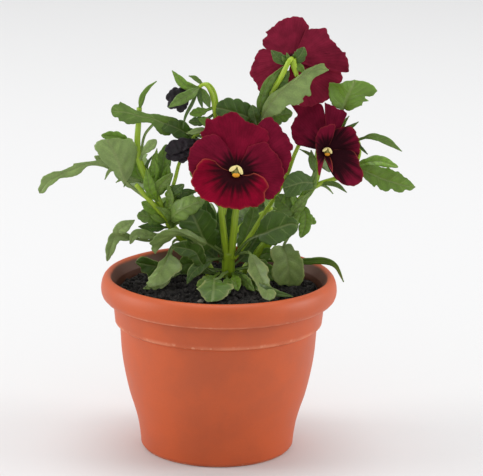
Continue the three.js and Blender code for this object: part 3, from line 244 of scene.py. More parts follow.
# Shoots. A stem is [radius at the foot, radius at the tip, places]. A leaf or sepal is
# [outline, width, degrees turned from the viewer, fold, share that is stalk, places from foot to
# tip, tone]: tone 0 is dark, 1 mid, 2 bright and 3 pale. A leaf whose outline was read place by
# place also has its left and right rims, as places [across, up] from base to tip.
SHOOTS = {
    "shoot_centre": {
        "stems": [
            [5.2, 4.2, [[6, 102.6, -24], [6, 108, -24], [6, 113.5, -24], [6.5, 131, -19]]],
            [2.6, 1.4, [[5, 126, -20], [2.5, 145, -13], [0.5, 160, -9], [-1, 178, -8],
             [-2, 200, -9], [-3.5, 215, -9], [-4.5, 226, -8], [-6, 236, -6], [-9, 243.5, -5],
             [-12.5, 246, -5], [-16, 243.5, -5.5]]],
            [1.5, 1, [[0, 165, -10], [-1, 190, -13], [-2.5, 215, -13], [-3, 232, -12],
             [-5, 241, -11], [-9, 246, -10], [-13.5, 246, -7]]],
            [1.9, 1.4, [[2, 156, -11], [7, 178, -15], [11, 192, -15], [11.5, 198, -9],
             [10.5, 194, -3], [10.5, 186.5, 2], [10.5, 186.5, 8.8]]],
            [2.7, 1.7, [[8, 126, -19], [9.5, 145, -14], [11, 160, -13], [15, 180, -17],
             [21, 203, -15], [26, 220, -11], [30, 234, -7], [37, 245, -2], [42, 254, 3],
             [46, 262.5, 5], [48, 264.2, 2], [48, 264.2, -2.7]]],
            [2.8, 1.4, [[48.4, 264.2, 2], [50, 258, 2], [51.5, 252, 3]]],
            [1.8, 1.2, [[10, 126, -19], [21, 142, -15], [30, 157, -15], [39, 171, -18],
             [46, 185, -13], [51, 199, -11], [57, 210, -17], [66, 214, -21], [73, 207, -18],
             [73, 200.8, -13], [73, 200.8, -8.3]]],
        ],
        "leaves": [
            ["round", 24, 0, 0.1, 0.56, [[6, 117, -22], [3, 115.5, -5], [0, 112.5, 6],
             [-3.5, 111, 12], [-4, 106.5, 21], [-4.5, 101, 30], [-5.5, 96, 36]], 0.3, [[[-3.5, 111],
             [0, 110.5], [1.5, 108], [5, 108], [8.5, 107], [8.5, 104.5], [6, 103.5], [5.5, 101],
             [3.5, 99], [1.5, 97.5], [-1, 96.5], [-5.5, 96]], [[-3.5, 111], [-7.5, 111.5],
             [-10.5, 110.5], [-12.5, 108], [-14, 107], [-16.5, 105], [-18.5, 103.5], [-16, 101.5],
             [-15, 99], [-12, 97.5], [-10, 96], [-5.5, 96]]]],
            ["oval", 8, 0, 0.1, 0.4, [[5, 114, -20], [6, 109, 6], [6.5, 101.5, 18]], 1],
            ["oval", 8, 0, 0.1, 0.35, [[9, 116, -20], [11, 111.5, -2], [13, 104, 12]], 2],
            ["lance", 8, 20, 0.1, 0.3, [[10, 116, -20], [17, 112, -4], [24.5, 104, 12]], 1],
            ["oval", 15, 10, 0.2, 0.29, [[9, 129, -19], [18, 130, -13], [21.5, 129, -6],
             [25, 122.5, -1], [28, 115.5, 4], [31, 109, 9], [33.5, 102.5, 19], [35, 97.5, 25]],
             3, [[[21.5, 129], [25, 128], [28, 125.5], [32, 122], [34.5, 118.5], [33.5, 114.5],
             [35.5, 111], [35.5, 107.5], [38.5, 104], [40, 101.5], [38.5, 98.5], [35, 97.5]],
             [[21.5, 129], [20, 125], [20.5, 120], [20, 116.5], [23.5, 111.5], [26.5, 106.5],
             [28, 102.5], [31, 98], [35, 97.5]]]],
            ["lance", 7, 0, 0.1, 0.3, [[11, 113.5, -21], [26, 107.5, 8], [37, 103, 18],
             [51, 100.5, 22]], 0],
            ["round", 26, -10, 0.15, 0.3, [[5, 127, -20], [-5, 134.5, -13], [-10, 138, -10],
             [-15, 148, -6], [-21, 160, -5]], 0],
            ["oval", 14.8, 150, 0.12, 0.25, [[4, 129, -20], [-2, 133, -18], [-8, 136.5, -12],
             [-13.5, 137.5, -5], [-19, 140.5, 0], [-26, 142.5, 2], [-32.5, 141, 3], [-39, 137.5, 3],
             [-43, 133, 3], [-44, 128.5, 4]], 3, [[[-8, 136.5], [-8.5, 134], [-10.5, 132],
             [-13, 132.5], [-15.5, 133.5], [-18, 136.5], [-21, 139], [-25, 140.5], [-29.5, 141],
             [-32, 139], [-34, 136.5], [-37.5, 135], [-39.5, 133], [-42, 131], [-44, 128.5]],
             [[-8, 136.5], [-10, 139.5], [-13, 140], [-17, 142], [-22, 144], [-27.5, 144],
             [-31.5, 145], [-34, 144.5], [-38, 144], [-41.5, 142], [-44.5, 139.5], [-45.5, 137.5],
             [-48, 134.5], [-46, 133.5], [-46.5, 131.5], [-44, 128.5]]]],
            ["oval", 13, 0, 0.15, 0.4, [[2, 114.5, -22], [-8, 118, -14], [-13, 124, -9],
             [-18, 131, -7], [-33, 134, -7]], 0],
            ["oval", 14, 0, 0.12, 0.69, [[4, 115.5, -23], [-14, 116, -21], [-28, 115.5, -20],
             [-38.5, 118, -20], [-44, 120, -20], [-50.5, 121, -19], [-57.5, 122.5, -18]],
             0, [[[-38.5, 118], [-41, 113.5], [-45.5, 112.5], [-49, 112], [-50, 114.5],
             [-53.5, 115.5], [-54, 119], [-56, 120.5], [-57.5, 122.5]], [[-38.5, 118], [-42, 123],
             [-46, 124.5], [-48, 125.5], [-51, 126.5], [-54, 126.5], [-56, 125], [-57.5, 122.5]]]],
            ["lance", 8, 0, 0.1, 0.3, [[-27, 115.5, -20], [-36, 111, -6], [-43, 107, 2],
             [-52, 104.5, 8]], 3],
            ["round", 19, 0, 0.15, 0.2, [[23, 211, -13], [20, 222, -9], [8, 227, -8],
             [-4, 230, -7]], 0],
            ["oval", 9, 0, 0.1, 0.2, [[25, 217, -12], [23, 224, -6], [21, 232, -5]], 0],
            ["lance", 8, 30, 0.2, 0.1, [[26, 222, -11], [27, 235, -4], [32, 248, 0], [42, 259, 1]],
             1],
            ["oval", 20, 10, 0.2, 0.13, [[25, 219, -12], [28.5, 224.5, -6], [34, 233, -2],
             [40, 240.5, 2], [46.5, 246, 4], [53.5, 251, 6], [60.5, 255.5, 7], [66.5, 258, 8],
             [73.5, 257, 8]], 3, [[[28.5, 224.5], [28, 226.5], [29, 232], [32, 237.5], [35, 241],
             [40, 244], [46.5, 248.5], [53.5, 253.5], [58, 257.5], [62.5, 259.5], [65.5, 261],
             [70, 262], [71, 259.5], [73.5, 257]], [[28.5, 224.5], [30.5, 222.5], [33.5, 223],
             [36.5, 225.5], [41, 227.5], [44, 230.5], [47, 233.5], [51, 233], [54.5, 234],
             [57, 236], [56.5, 238], [59, 240], [62, 239.5], [62, 242.5], [61, 245], [62.5, 250],
             [65, 252.5], [70, 255], [73.5, 257]]]],
            ["oval", 7, 0, 0.1, 0.3, [[-4, 226, -8], [-12, 221, -8], [-22.5, 219.5, -8]], 0],
            ["oval", 7, 10, 0.1, 0.3, [[-5, 230, -8], [-13, 227, -7], [-22, 225, -6]], 2],
            ["lance", 5, 20, 0.1, 0.3, [[-3, 214, -9], [-13, 214, -4.5], [-24, 211.5, -4]], 3],
            ["spoon", 14.5, 0, 0.12, 0.32, [[-3, 207, -9], [-12, 209, -14], [-27, 213.5, -14.5],
             [-34.5, 216.5, -12], [-42, 219.5, -8], [-49, 222, -5], [-56, 223, -2], [-62.5, 225, 0],
             [-69.5, 226, 2], [-76, 226.5, 4]], 1, [[[-27, 213.5], [-29.5, 212], [-34.5, 211.5],
             [-36.5, 210], [-41.5, 210.5], [-44.5, 212.5], [-46.5, 215.5], [-49.5, 218.5],
             [-57, 218.5], [-61, 217.5], [-66, 217.5], [-67, 219], [-70.5, 219.5], [-71.5, 222],
             [-74, 222], [-75.5, 224], [-76, 226.5]], [[-27, 213.5], [-27.5, 217.5], [-32.5, 221.5],
             [-35, 222.5], [-39.5, 223.5], [-44.5, 225], [-50.5, 225], [-55.5, 226.5],
             [-59.5, 227.5], [-64, 230], [-69, 232.5], [-70.5, 233], [-71.5, 231.5], [-74.5, 231],
             [-76, 228.5], [-76, 226.5]]]],
            ["oval", 13, 0, 0.15, 0.3, [[-3, 204, -9], [-12, 206.5, -15], [-19, 209, -17],
             [-30, 215, -12], [-46, 221, -8]], 0],
            ["round", 24, 0, 0.08, 0.49, [[10, 127, -19], [19, 138, -8], [27, 142.5, -2],
             [31.5, 144, 1], [37, 146.5, 3], [44, 149, 5], [49.5, 150.5, 6], [54, 149, 6]],
             0, [[[27, 142.5], [26, 145], [28, 148.5], [28.5, 152.5], [31, 156], [33, 158],
             [36, 159.5], [41, 159], [45.5, 157.5], [47.5, 155.5], [50.5, 155], [53, 152.5],
             [54, 149]], [[27, 142.5], [27.5, 139.5], [29.5, 137.5], [31.5, 137], [34.5, 135.5],
             [39, 135.5], [41.5, 137], [44, 138], [47, 140], [48.5, 141], [51, 143], [53, 145.5],
             [54, 149]]]],
            ["lance", 6.5, 0, 0.2, 0, [[-16, 243.5, -5], [-26, 245.5, -4], [-34.5, 255, -3]], 2],
            ["lance", 3.4, 0, 0.1, 0, [[-13, 245.5, -5], [-18.5, 250, -6], [-23, 251.5, -6]], 1],
            ["lance", 8, 0, 0.2, 0, [[-16, 243, -4], [-22, 238.5, 0.5], [-29, 234.5, 1.5],
             [-36.5, 229.5, 1]], 1],
            ["lance", 6.5, 20, 0.2, 0, [[-15.5, 243.5, -6], [-11, 237, -3], [-8, 229.5, -3]], 1],
            ["thin", 3.5, 0, 0.1, 0, [[-16, 243, -5], [-15, 236, -3], [-13, 229, -2]], 0],
            ["thin", 2.4, 0, 0.1, 0, [[-16, 243, -5], [-20, 233, 0], [-24.5, 224, -2],
             [-26.5, 215, -4]], 0],
            ["oval", 9, 0, 0.15, 0, [[48, 264.2, 0], [53, 266, 2], [56.5, 272.5, 2]], 0],
            ["lance", 8, 0, 0.15, 0, [[47, 263.7, 0], [40, 264, 2], [33.5, 270, 2]], 0],
            ["thin", 3, 0, 0.1, 0, [[47, 264.2, 0], [45.5, 265, 2], [44.3, 268.5, 2]], 1],
            ["thin", 3.4, 0, 0.1, 0, [[47, 263.7, 0], [43, 263, 2.5], [41, 266, 3]], 1],
            ["lance", 5, 0, 0.1, 0, [[49, 263.2, 0], [54, 258, 3], [57, 254, 3]], 2],
            ["lance", 6.5, 0, 0.2, 0, [[73, 201.8, -11], [79, 213, -14.5], [86, 221, -15]], 2],
            ["lance", 5, 0, 0.1, 0, [[73, 201.8, -11], [81, 216, -17], [88, 225.5, -18]], 2],
            ["lance", 5.5, 0, 0.1, 0, [[73, 201.3, -11], [83, 213, -15], [94.5, 221.5, -15]], 1],
            ["thin", 3.6, 0, 0.1, 0, [[73, 200.8, -11], [84, 209, -12], [95.5, 210, -9]], 1],
            ["lance", 6, 0, 0.1, 0, [[10.5, 186.5, 4], [17, 195, 5], [21, 203, 5]], 1],
            ["lance", 6, 0, 0.1, 0, [[10.5, 186.5, 4], [1, 189, 5], [-8, 191, 5]], 1],
            ["lance", 6, 0, 0.1, 0, [[10.5, 186.5, 4], [14, 178, 5], [17, 169, 6]], 1],
        ],
    },
    "shoot_left": {
        "stems": [
            [3.8, 1.9, [[-6, 104.4, -30], [-6, 109, -30], [-6, 115, -30], [-12, 126, -27],
             [-24, 138, -22], [-33, 147, -16], [-38, 156, -11], [-44, 168, -8], [-51, 181, -6],
             [-56, 193, -5], [-57.5, 205, -5], [-57, 217, -5], [-56.5, 229, -5]]],
            [2.4, 1.6, [[-34, 148, -15], [-40, 156, -8], [-48, 164.5, -4], [-58, 176, -1]]],
            [1.6, 1, [[-37, 153, -12], [-36, 161, -7], [-34, 170, -5], [-31, 181, -5],
             [-28.5, 191, -9], [-23, 203, -9], [-17, 211, -8], [-13, 211.5, -6.5],
             [-12.7, 208.5, -5.5]]],
        ],
        "leaves": [
            ["fan", 38, 180, 0.12, 0.36, [[-50, 166, -4], [-65, 177.5, -2], [-68, 185, 0],
             [-71, 192.5, 2], [-74.5, 200, 3], [-79, 207, 2]], 3, [[[-65, 177.5], [-66, 175],
             [-68, 178], [-69.5, 179.5], [-72.5, 183.5], [-75.5, 186], [-78.5, 189], [-82, 192],
             [-85, 196.5], [-87.5, 200], [-87, 203], [-85.5, 205], [-82.5, 206.5], [-79, 207]],
             [[-65, 177.5], [-62, 181], [-59.5, 186], [-58, 191.5], [-57, 196], [-57.5, 201],
             [-59.5, 204.5], [-62, 207.5], [-64, 207.5], [-67, 206.5], [-70, 207.5], [-74, 207.5],
             [-79, 207]]]],
            ["oval", 8, 0, 0.1, 0.3, [[-57, 200, -5], [-68, 207.5, -6], [-82.5, 209.5, -6]], 2],
            ["spoon", 12, 10, 0.15, 0.35, [[-48.5, 176, -7], [-58, 179, -6.5], [-76.5, 187, -6],
             [-85, 189.5, -6], [-93, 189, -5.5], [-100, 186.5, -5], [-106.5, 183.5, -4.5],
             [-113.5, 180, -4], [-119.5, 175.5, -4], [-124, 169, -5]], 3, [[[-76.5, 187],
             [-80, 187.5], [-86, 188.5], [-91, 188], [-94, 185.5], [-96, 183], [-99.5, 181],
             [-103.5, 180], [-108.5, 179.5], [-110.5, 179], [-112.5, 177], [-115.5, 174.5],
             [-117.5, 173.5], [-119, 171], [-121, 169], [-124, 169]], [[-76.5, 187], [-78.5, 190.5],
             [-82, 192.5], [-88.5, 191.5], [-93, 191], [-99, 190], [-101.5, 189.5], [-101, 188.5],
             [-104, 187], [-109.5, 184.5], [-114, 184], [-117.5, 182.5], [-121.5, 180.5],
             [-123, 178], [-123.5, 175], [-125, 172], [-124, 169]]]],
            ["thin", 2.4, 0, 0.1, 0.1, [[-70, 185, -5], [-76, 185.5, -4], [-79.5, 179, -3]], 3],
            ["thin", 3.2, 0, 0.1, 0.1, [[-58, 179, -6.5], [-66, 180.5, -4], [-72, 177, -3]], 3],
            ["thin", 3.6, 0, 0.1, 0.1, [[-55, 178.2, -6.5], [-63.5, 178.5, -4], [-66.5, 174, -3]],
             3],
            ["lance", 3.4, 20, 0.2, 0.1, [[-56.5, 225, -5], [-55.5, 235, -5], [-51, 242.5, -5],
             [-45, 247.5, -5]], 2],
            ["thin", 4, 10, 0.1, 0.1, [[-56.5, 227, -5], [-54.5, 237, -6], [-50.5, 243.5, -6.5]],
             1],
            ["spoon", 7, 0, 0.1, 0.2, [[-55.5, 192, -5], [-53, 198, 0], [-44.5, 207, 2]], 3],
            ["lance", 9, 0, 0.1, 0.55, [[-55, 194, -5], [-53.5, 207, -8], [-50, 214, -11],
             [-42, 220, -16], [-29, 215, -20]], 3],
            ["oval", 12, 0, 0.1, 0.1, [[-43, 165, -8], [-41, 178, -10], [-39.5, 192, -12],
             [-37.5, 204, -13]], 2.2],
            ["thin", 2.2, 0, 0.1, 0.1, [[-51, 180, -6], [-50.5, 190, -6], [-45.5, 197.5, -6]], 0],
            ["thin", 2.2, 0, 0.1, 0.1, [[-51, 180, -6], [-48, 187, -6], [-43.5, 190, -6]], 0],
            ["lance", 8, 0, 0.15, 0.1, [[-42, 164, -8], [-48, 172, 0], [-51, 187, 2]], 2],
            ["oval", 12, 0, 0.1, 0.1, [[-50, 178, -6], [-57, 184, -9], [-59, 198, -11]], 2],
            ["spoon", 6.5, 0, 0.1, 0.2, [[-40, 160, -10], [-33, 170, -2], [-25, 176.5, 0]], 0],
            ["oval", 6, 0, 0.1, 0.2, [[-38.5, 157, -10], [-27, 169.5, -4], [-16, 172, -5]], 0],
            ["oval", 15, 180, 0.1, 0.1, [[-35.5, 150, -13], [-30, 157, 0], [-21, 162, 4],
             [-10.5, 166, 4]], 1.7],
            ["round", 11, 0, 0.1, 0.1, [[-36, 151, -13], [-47, 154, -5], [-57, 154.5, -2]], 1],
            ["lance", 7, 0, 0.15, 0.2, [[-33, 147, -16], [-44, 146.5, -12], [-56, 147, -11]], 0],
            ["oval", 7, 0, 0.1, 0.35, [[-31, 145, -17], [-46, 141, -8], [-57, 142, -5],
             [-61.5, 135, -4]], 3],
            ["oval", 8, 0, 0.15, 0.5, [[-29, 143, -19], [-47, 137.5, -12], [-62, 139.5, -8],
             [-72, 139, -6], [-77, 123, -5]], 3],
            ["lance", 9, 0, 0.1, 0.1, [[-62, 139.5, -8], [-69.5, 143.5, -5], [-58.5, 151.5, -4]],
             3],
            ["oval", 14, 0, 0.2, 0.21, [[-22, 136, -23], [-29, 138.5, -20], [-32.5, 135.5, -18],
             [-35, 127, -15], [-38, 120, -4], [-42, 113.5, 6], [-48, 105.5, 14]],
             3, [[[-32.5, 135.5], [-32, 131.5], [-32.5, 128], [-29.5, 124.5], [-27, 121],
             [-26, 117.5], [-27.5, 114], [-31, 112], [-32, 110.5], [-33.5, 110], [-35.5, 107.5],
             [-39.5, 105.5], [-42, 106], [-44.5, 105], [-48, 105.5]], [[-32.5, 135.5],
             [-34.5, 132.5], [-36, 128.5], [-37.5, 126], [-40, 123.5], [-42.5, 121], [-43, 118.5],
             [-45.5, 115], [-47.5, 112.5], [-49, 111.5], [-48.5, 109.5], [-50, 107.5],
             [-48, 105.5]]]],
            ["oval", 22, 170, 0.1, 0.1, [[-46, 172, -8], [-60, 184, -22], [-76, 194, -32]], 0],
            ["oval", 18, 180, 0.1, 0.1, [[-53, 185, -6], [-58, 192, -20], [-64, 198, -38]], 1],
        ],
    },
    "shoot_right": {
        "stems": [
            [4.6, 2.1, [[17, 104.4, -30], [17, 109, -30], [17, 115, -30], [25, 127, -27],
             [35, 140, -22], [46, 154, -16], [55, 166, -11], [62, 175, -8], [66, 185, -9],
             [67, 196, -17], [69, 208, -27], [74, 219, -26], [79, 227, -18]]],
            [2, 1.2, [[62, 175, -8], [70, 179, -8], [80, 182.5, -12], [90, 188, -15],
             [95, 198, -16], [95, 206, -15], [93, 211, -14]]],
        ],
        "leaves": [
            ["round", 25, 0, 0.1, 0.44, [[45, 153, -17], [49, 146, -11], [44, 135, -8],
             [45.5, 128.5, -5], [47, 121.5, -4], [47.5, 114.5, -4], [48, 107.5, -5]],
             3, [[[44, 135], [47, 136.5], [50, 135.5], [51.5, 132.5], [54.5, 132], [55.5, 128.5],
             [57.5, 125.5], [58, 120.5], [58.5, 115.5], [57, 111], [54.5, 108.5], [51, 108.5],
             [48, 107.5]], [[44, 135], [39.5, 135], [36.5, 134], [34.5, 131.5], [35.5, 127],
             [37, 123.5], [35.5, 119.5], [36, 114.5], [38.5, 111], [42, 108.5], [44.5, 109],
             [48, 107.5]]]],
            ["oval", 15, 0, 0.1, 0.1, [[52, 162, -12], [47, 161.5, -8], [39, 170, -11]], 1],
            ["oval", 9.5, 0, 0.1, 0.1, [[52, 162, -12], [58, 159, -8], [58.5, 150, -7],
             [55.5, 141, -7]], 2],
            ["round", 6.5, 0, 0.1, 0.2, [[54, 164, -11], [61, 154.5, -11], [66, 151, -11]], 2],
            ["lance", 5.5, 20, 0.15, 0.3, [[24, 126, -27], [44, 124.5, -24], [60, 125, -18],
             [72, 125.5, -12], [80, 122, -8], [85.5, 111, -6]], 1],
            ["round", 18, 0, 0.1, 0.15, [[63, 178, -8], [63, 178.5, -4], [57.5, 179, 0],
             [51, 177.5, 2], [43, 174.5, 3]], 0, [[[63, 178.5], [62.5, 175.5], [60, 173.5],
             [55.5, 172.5], [54, 170], [49, 168.5], [45, 169.5], [43.5, 172.5], [43, 174.5]],
             [[63, 178.5], [62, 182.5], [59, 184.5], [56.5, 185.5], [54, 187], [49.5, 186],
             [46, 184], [44, 181], [43, 177.5], [43, 174.5]]]],
            ["oval", 6, 0, 0.1, 0.1, [[54, 164, -11], [51, 166, -6], [49.5, 171, -5]], 2],
            ["thin", 3.6, 0, 0.1, 0.1, [[68, 178.5, -8], [79, 178, -4], [87, 172.5, -3]], 1],
            ["thin", 1.8, 0, 0.1, 0.1, [[67, 178, -8], [73, 176, -6], [77.5, 171.5, -6]], 3],
            ["lance", 5.5, 0, 0.1, 0.2, [[65.5, 183, -8], [63, 193, -6], [62, 201.5, -8.5]], 1],
            ["thin", 2.4, 0, 0.1, 0.1, [[66.5, 193, -15], [61, 198.5, -14], [54, 202, -14]], 3],
            ["oval", 18, 10, 0.15, 0.17, [[89, 187, -15], [95.5, 188.5, -10], [104, 185.5, -7],
             [112, 182, -5], [120.5, 179.5, -3], [127, 177.5, -2], [134, 177, -3]],
             1.5, [[[95.5, 188.5], [98, 190.5], [103.5, 192], [109, 191], [113.5, 190],
             [115.5, 190.5], [120, 188], [123, 187.5], [126.5, 184], [128.5, 183], [131.5, 180],
             [134, 177]], [[95.5, 188.5], [97, 185], [99.5, 182], [102.5, 179.5], [106, 176.5],
             [107.5, 178], [110, 175], [115, 173.5], [117.5, 175.5], [120.5, 173.5], [125, 173],
             [127, 175], [130.5, 174.5], [134, 177]]]],
            ["oval", 9, -30, 0.1, 0.1, [[90, 188, -15], [100, 193, -12], [110, 194, -11],
             [122, 190.5, -11]], 2],
            ["lance", 5.5, 10, 0.15, 0.1, [[94, 209, -15], [104, 211.5, -10], [114, 208.5, -8],
             [124.5, 201.5, -8]], 1],
            ["thin", 2, 0, 0.1, 0.1, [[95, 206, -15], [97, 203, -12], [101, 199, -11]], 0],
            ["fan", 29, 16, 0.1, 0.18, [[79, 227, -18], [83.5, 230.5, -18.5], [85.5, 236, -14],
             [88, 242, -7], [90, 246, -5], [91.5, 250.5, -5]], 1.6, [[[83.5, 230.5], [80, 231.5],
             [77, 233.5], [75.5, 236.5], [74, 241], [73.5, 246.5], [74, 250], [76, 250.5],
             [81, 249.5], [85, 250.5], [88, 250], [91.5, 250.5]], [[83.5, 230.5], [88, 230],
             [93, 233], [97, 234.5], [97.5, 236.5], [101.5, 237.5], [99.5, 239.5], [99, 241.5],
             [102.5, 242.5], [105, 244.5], [107, 247.5], [103, 249], [97.5, 250], [94.5, 250],
             [91.5, 250.5]]]],
            ["oval", 20, 180, 0.1, 0.1, [[67, 190, -12], [76, 196, -26], [87, 199, -38]], 0],
            ["oval", 18, 180, 0.1, 0.1, [[69, 208, -27], [78, 211, -36], [88, 212, -46]], 1],
        ],
    },
    "shoot_back": {
        "stems": [
            [3.4, 1.6, [[6, 109.2, -46], [6, 114.5, -46], [6, 120, -46], [5, 140, -50],
             [4, 165, -52], [6, 190, -50], [10, 212, -46]]],
            [2.2, 1.4, [[5, 136, -49], [-6, 150, -56], [-22, 163, -60]]],
            [2.2, 1.4, [[5, 140, -50], [20, 152, -58], [36, 161, -62]]],
        ],
        "leaves": [
            ["round", 26, 0, 0.1, 0.25, [[6, 128, -47], [-4, 143, -58], [-12, 148, -82]], 0],
            ["round", 26, 0, 0.1, 0.25, [[6, 130, -47], [17, 145, -62], [24, 151, -86]], 0],
            ["oval", 20, 150, 0.1, 0.2, [[4, 150, -51], [-12, 158, -66], [-32, 162, -74]], 1],
            ["oval", 20, 200, 0.1, 0.2, [[4, 155, -51], [20, 163, -68], [36, 166, -76]], 0],
            ["round", 24, 170, 0.1, 0.25, [[4, 165, -52], [-8, 178, -62], [-12, 198, -66]], 1],
            ["round", 24, 190, 0.1, 0.25, [[4, 170, -52], [20, 180, -62], [32, 194, -68]], 0],
            ["oval", 18, 180, 0.1, 0.2, [[5, 186, -50], [0, 200, -58], [-5, 216, -60]], 0],
            ["oval", 18, 180, 0.1, 0.2, [[8, 200, -49], [20, 207, -56], [28, 216, -58]], 1],
            ["oval", 20, 0, 0.1, 0.1, [[30, 158, -61], [36, 162, -76], [38, 164, -98]], 1],
            ["oval", 20, 0, 0.1, 0.1, [[-18, 160, -59], [-24, 164, -76], [-28, 168, -98]], 0],
            ["round", 24, 0, 0.1, 0.2, [[4, 145, -50], [6, 160, -70], [8, 170, -98]], 1],
            ["oval", 18, 180, 0.1, 0.1, [[36, 161, -62], [46, 158, -60], [54, 150, -56]], 1],
            ["oval", 18, 180, 0.1, 0.1, [[-22, 163, -60], [-34, 160, -56], [-46, 154, -50]], 1],
            ["oval", 14, 180, 0.1, 0.1, [[10, 212, -46], [14, 217, -40], [18, 224, -36]], 2],
        ],
    },
}

# Small leaves and stipules that fill the plant between its main ones, in the same form.
FILLERS = {
    "shoot_centre": [
        ["oval", 13, 0, 0.1, 0.2, [[26, 218, -13], [36, 224, -13], [49, 227, -13]], 1],
        ["round", 22, 0, 0.1, 0.2, [[8, 120, -24], [16, 127, -26], [24, 138, -28], [30, 150, -30]],
         0],
        ["round", 22, 0, 0.1, 0.2, [[4, 122, -24], [-4, 128, -27], [-14, 136, -29],
         [-24, 146, -30]], 0],
        ["oval", 15, 0, 0.1, 0.3, [[10, 118, -24], [20, 120, -22], [30, 118, -18], [38, 112, -14]],
         1],
        ["oval", 15, 0, 0.1, 0.3, [[2, 118, -24], [-10, 119, -22], [-20, 122, -18],
         [-30, 119, -14]], 1],
        ["oval", 13, 0, 0.1, 0.2, [[9, 124, -22], [15, 134, -20], [21, 150, -22], [24, 164, -22]],
         1],
        ["oval", 13, 0, 0.1, 0.2, [[3, 124, -22], [-4, 138, -20], [-8, 152, -20], [-10, 166, -22]],
         0],
        ["oval", 8, 0, 0.1, 0.3, [[12, 114, -18], [22, 108, 0], [30, 103.5, 8]], 2],
        ["oval", 9, 0, 0.1, 0.3, [[0, 116, -20], [-8, 110, -6], [-16, 105, 2]], 2],
        ["oval", 10, 0, 0.15, 0.3, [[12, 117, -22], [24, 112, -10], [34, 106, -4]], 0],
        ["lance", 9, 0, 0.1, 0.2, [[2, 126, -19], [-8, 124, -12], [-18, 116, -6], [-22, 108, -2]],
         0],
        ["oval", 11, 20, 0.15, 0.2, [[-2, 205, -9], [-9, 201, -5], [-18, 203, -4]], 1],
        ["lance", 7, 0, 0.15, 0.1, [[-3, 213, -8], [-9, 219, -7], [-16, 222, -8]], 2],
        ["oval", 12, 10, 0.1, 0.1, [[29, 226, -9], [36, 242, -3], [46, 256, 0.5]], 1],
        ["oval", 15, 0, 0.1, 0.1, [[6.5, 127, -21], [4.5, 139, -25], [4, 151, -27],
         [5.5, 168, -27]], 0],
        ["oval", 11, 0, 0.1, 0.1, [[4, 126, -22], [-4, 140, -27], [-7.5, 151, -29],
         [-8, 163, -29]], 1],
    ],
    "shoot_left": [
        ["fan", 12, 20, 0.2, 0, [[-38, 156, -11], [-33, 164, -6], [-33, 176, -3]], 2],
        ["oval", 8, 0, 0.2, 0, [[-44, 168, -8], [-38, 178, -6], [-36, 190, -5]], 2],
        ["lance", 6, 0, 0.2, 0, [[-47, 174, -7], [-45, 186, -4], [-47, 196, -3]], 2],
        ["fan", 11, 0, 0.15, 0, [[-33, 147, -14], [-27, 154, -8], [-25, 166, -5]], 2],
        ["lance", 5, 0, 0.1, 0, [[-51, 181, -6], [-46, 190, -4], [-44, 201, -4]], 2],
        ["oval", 9, 0, 0.15, 0, [[-40, 159, -9], [-47, 160, -4], [-54, 164, -2]], 2],
        ["oval", 8, 0, 0.1, 0.1, [[-64, 183, -6], [-72, 188, -7], [-87, 195, -8]], 3],
        ["lance", 6, 20, 0.2, 0, [[-33, 147, -12], [-36, 156, -5], [-44, 161, -2]], 2.4],
        ["lance", 6, -20, 0.2, 0, [[-38, 156, -9], [-34, 166, -3], [-36, 178, 0]], 2.4],
        ["oval", 9, 30, 0.15, 0.1, [[-44, 168, -7], [-41, 176, -2], [-33, 184, 0]], 2.5],
        ["lance", 5, 0, 0.2, 0, [[-36, 151, -11], [-42, 152, -6], [-50, 158, -3]], 2.2],
    ],
    "shoot_right": [
        ["lance", 6, 0, 0.15, 0, [[55, 166, -11], [59, 172, -6], [66, 176, -4]], 2],
        ["lance", 5, 0, 0.15, 0, [[46, 154, -15], [43, 160, -10], [44, 170, -8]], 2],
        ["oval", 8, 0, 0.15, 0.1, [[25, 127, -26], [34, 130, -18], [42, 126, -12]], 1],
        ["lance", 8, 0, 0.2, 0, [[45, 150, -13], [53, 161, -7], [62, 173, -4]], 2.6],
        ["lance", 7, 0, 0.2, 0, [[57, 167, -9], [62, 176, -5], [66, 188, -6]], 2.5],
    ],
}

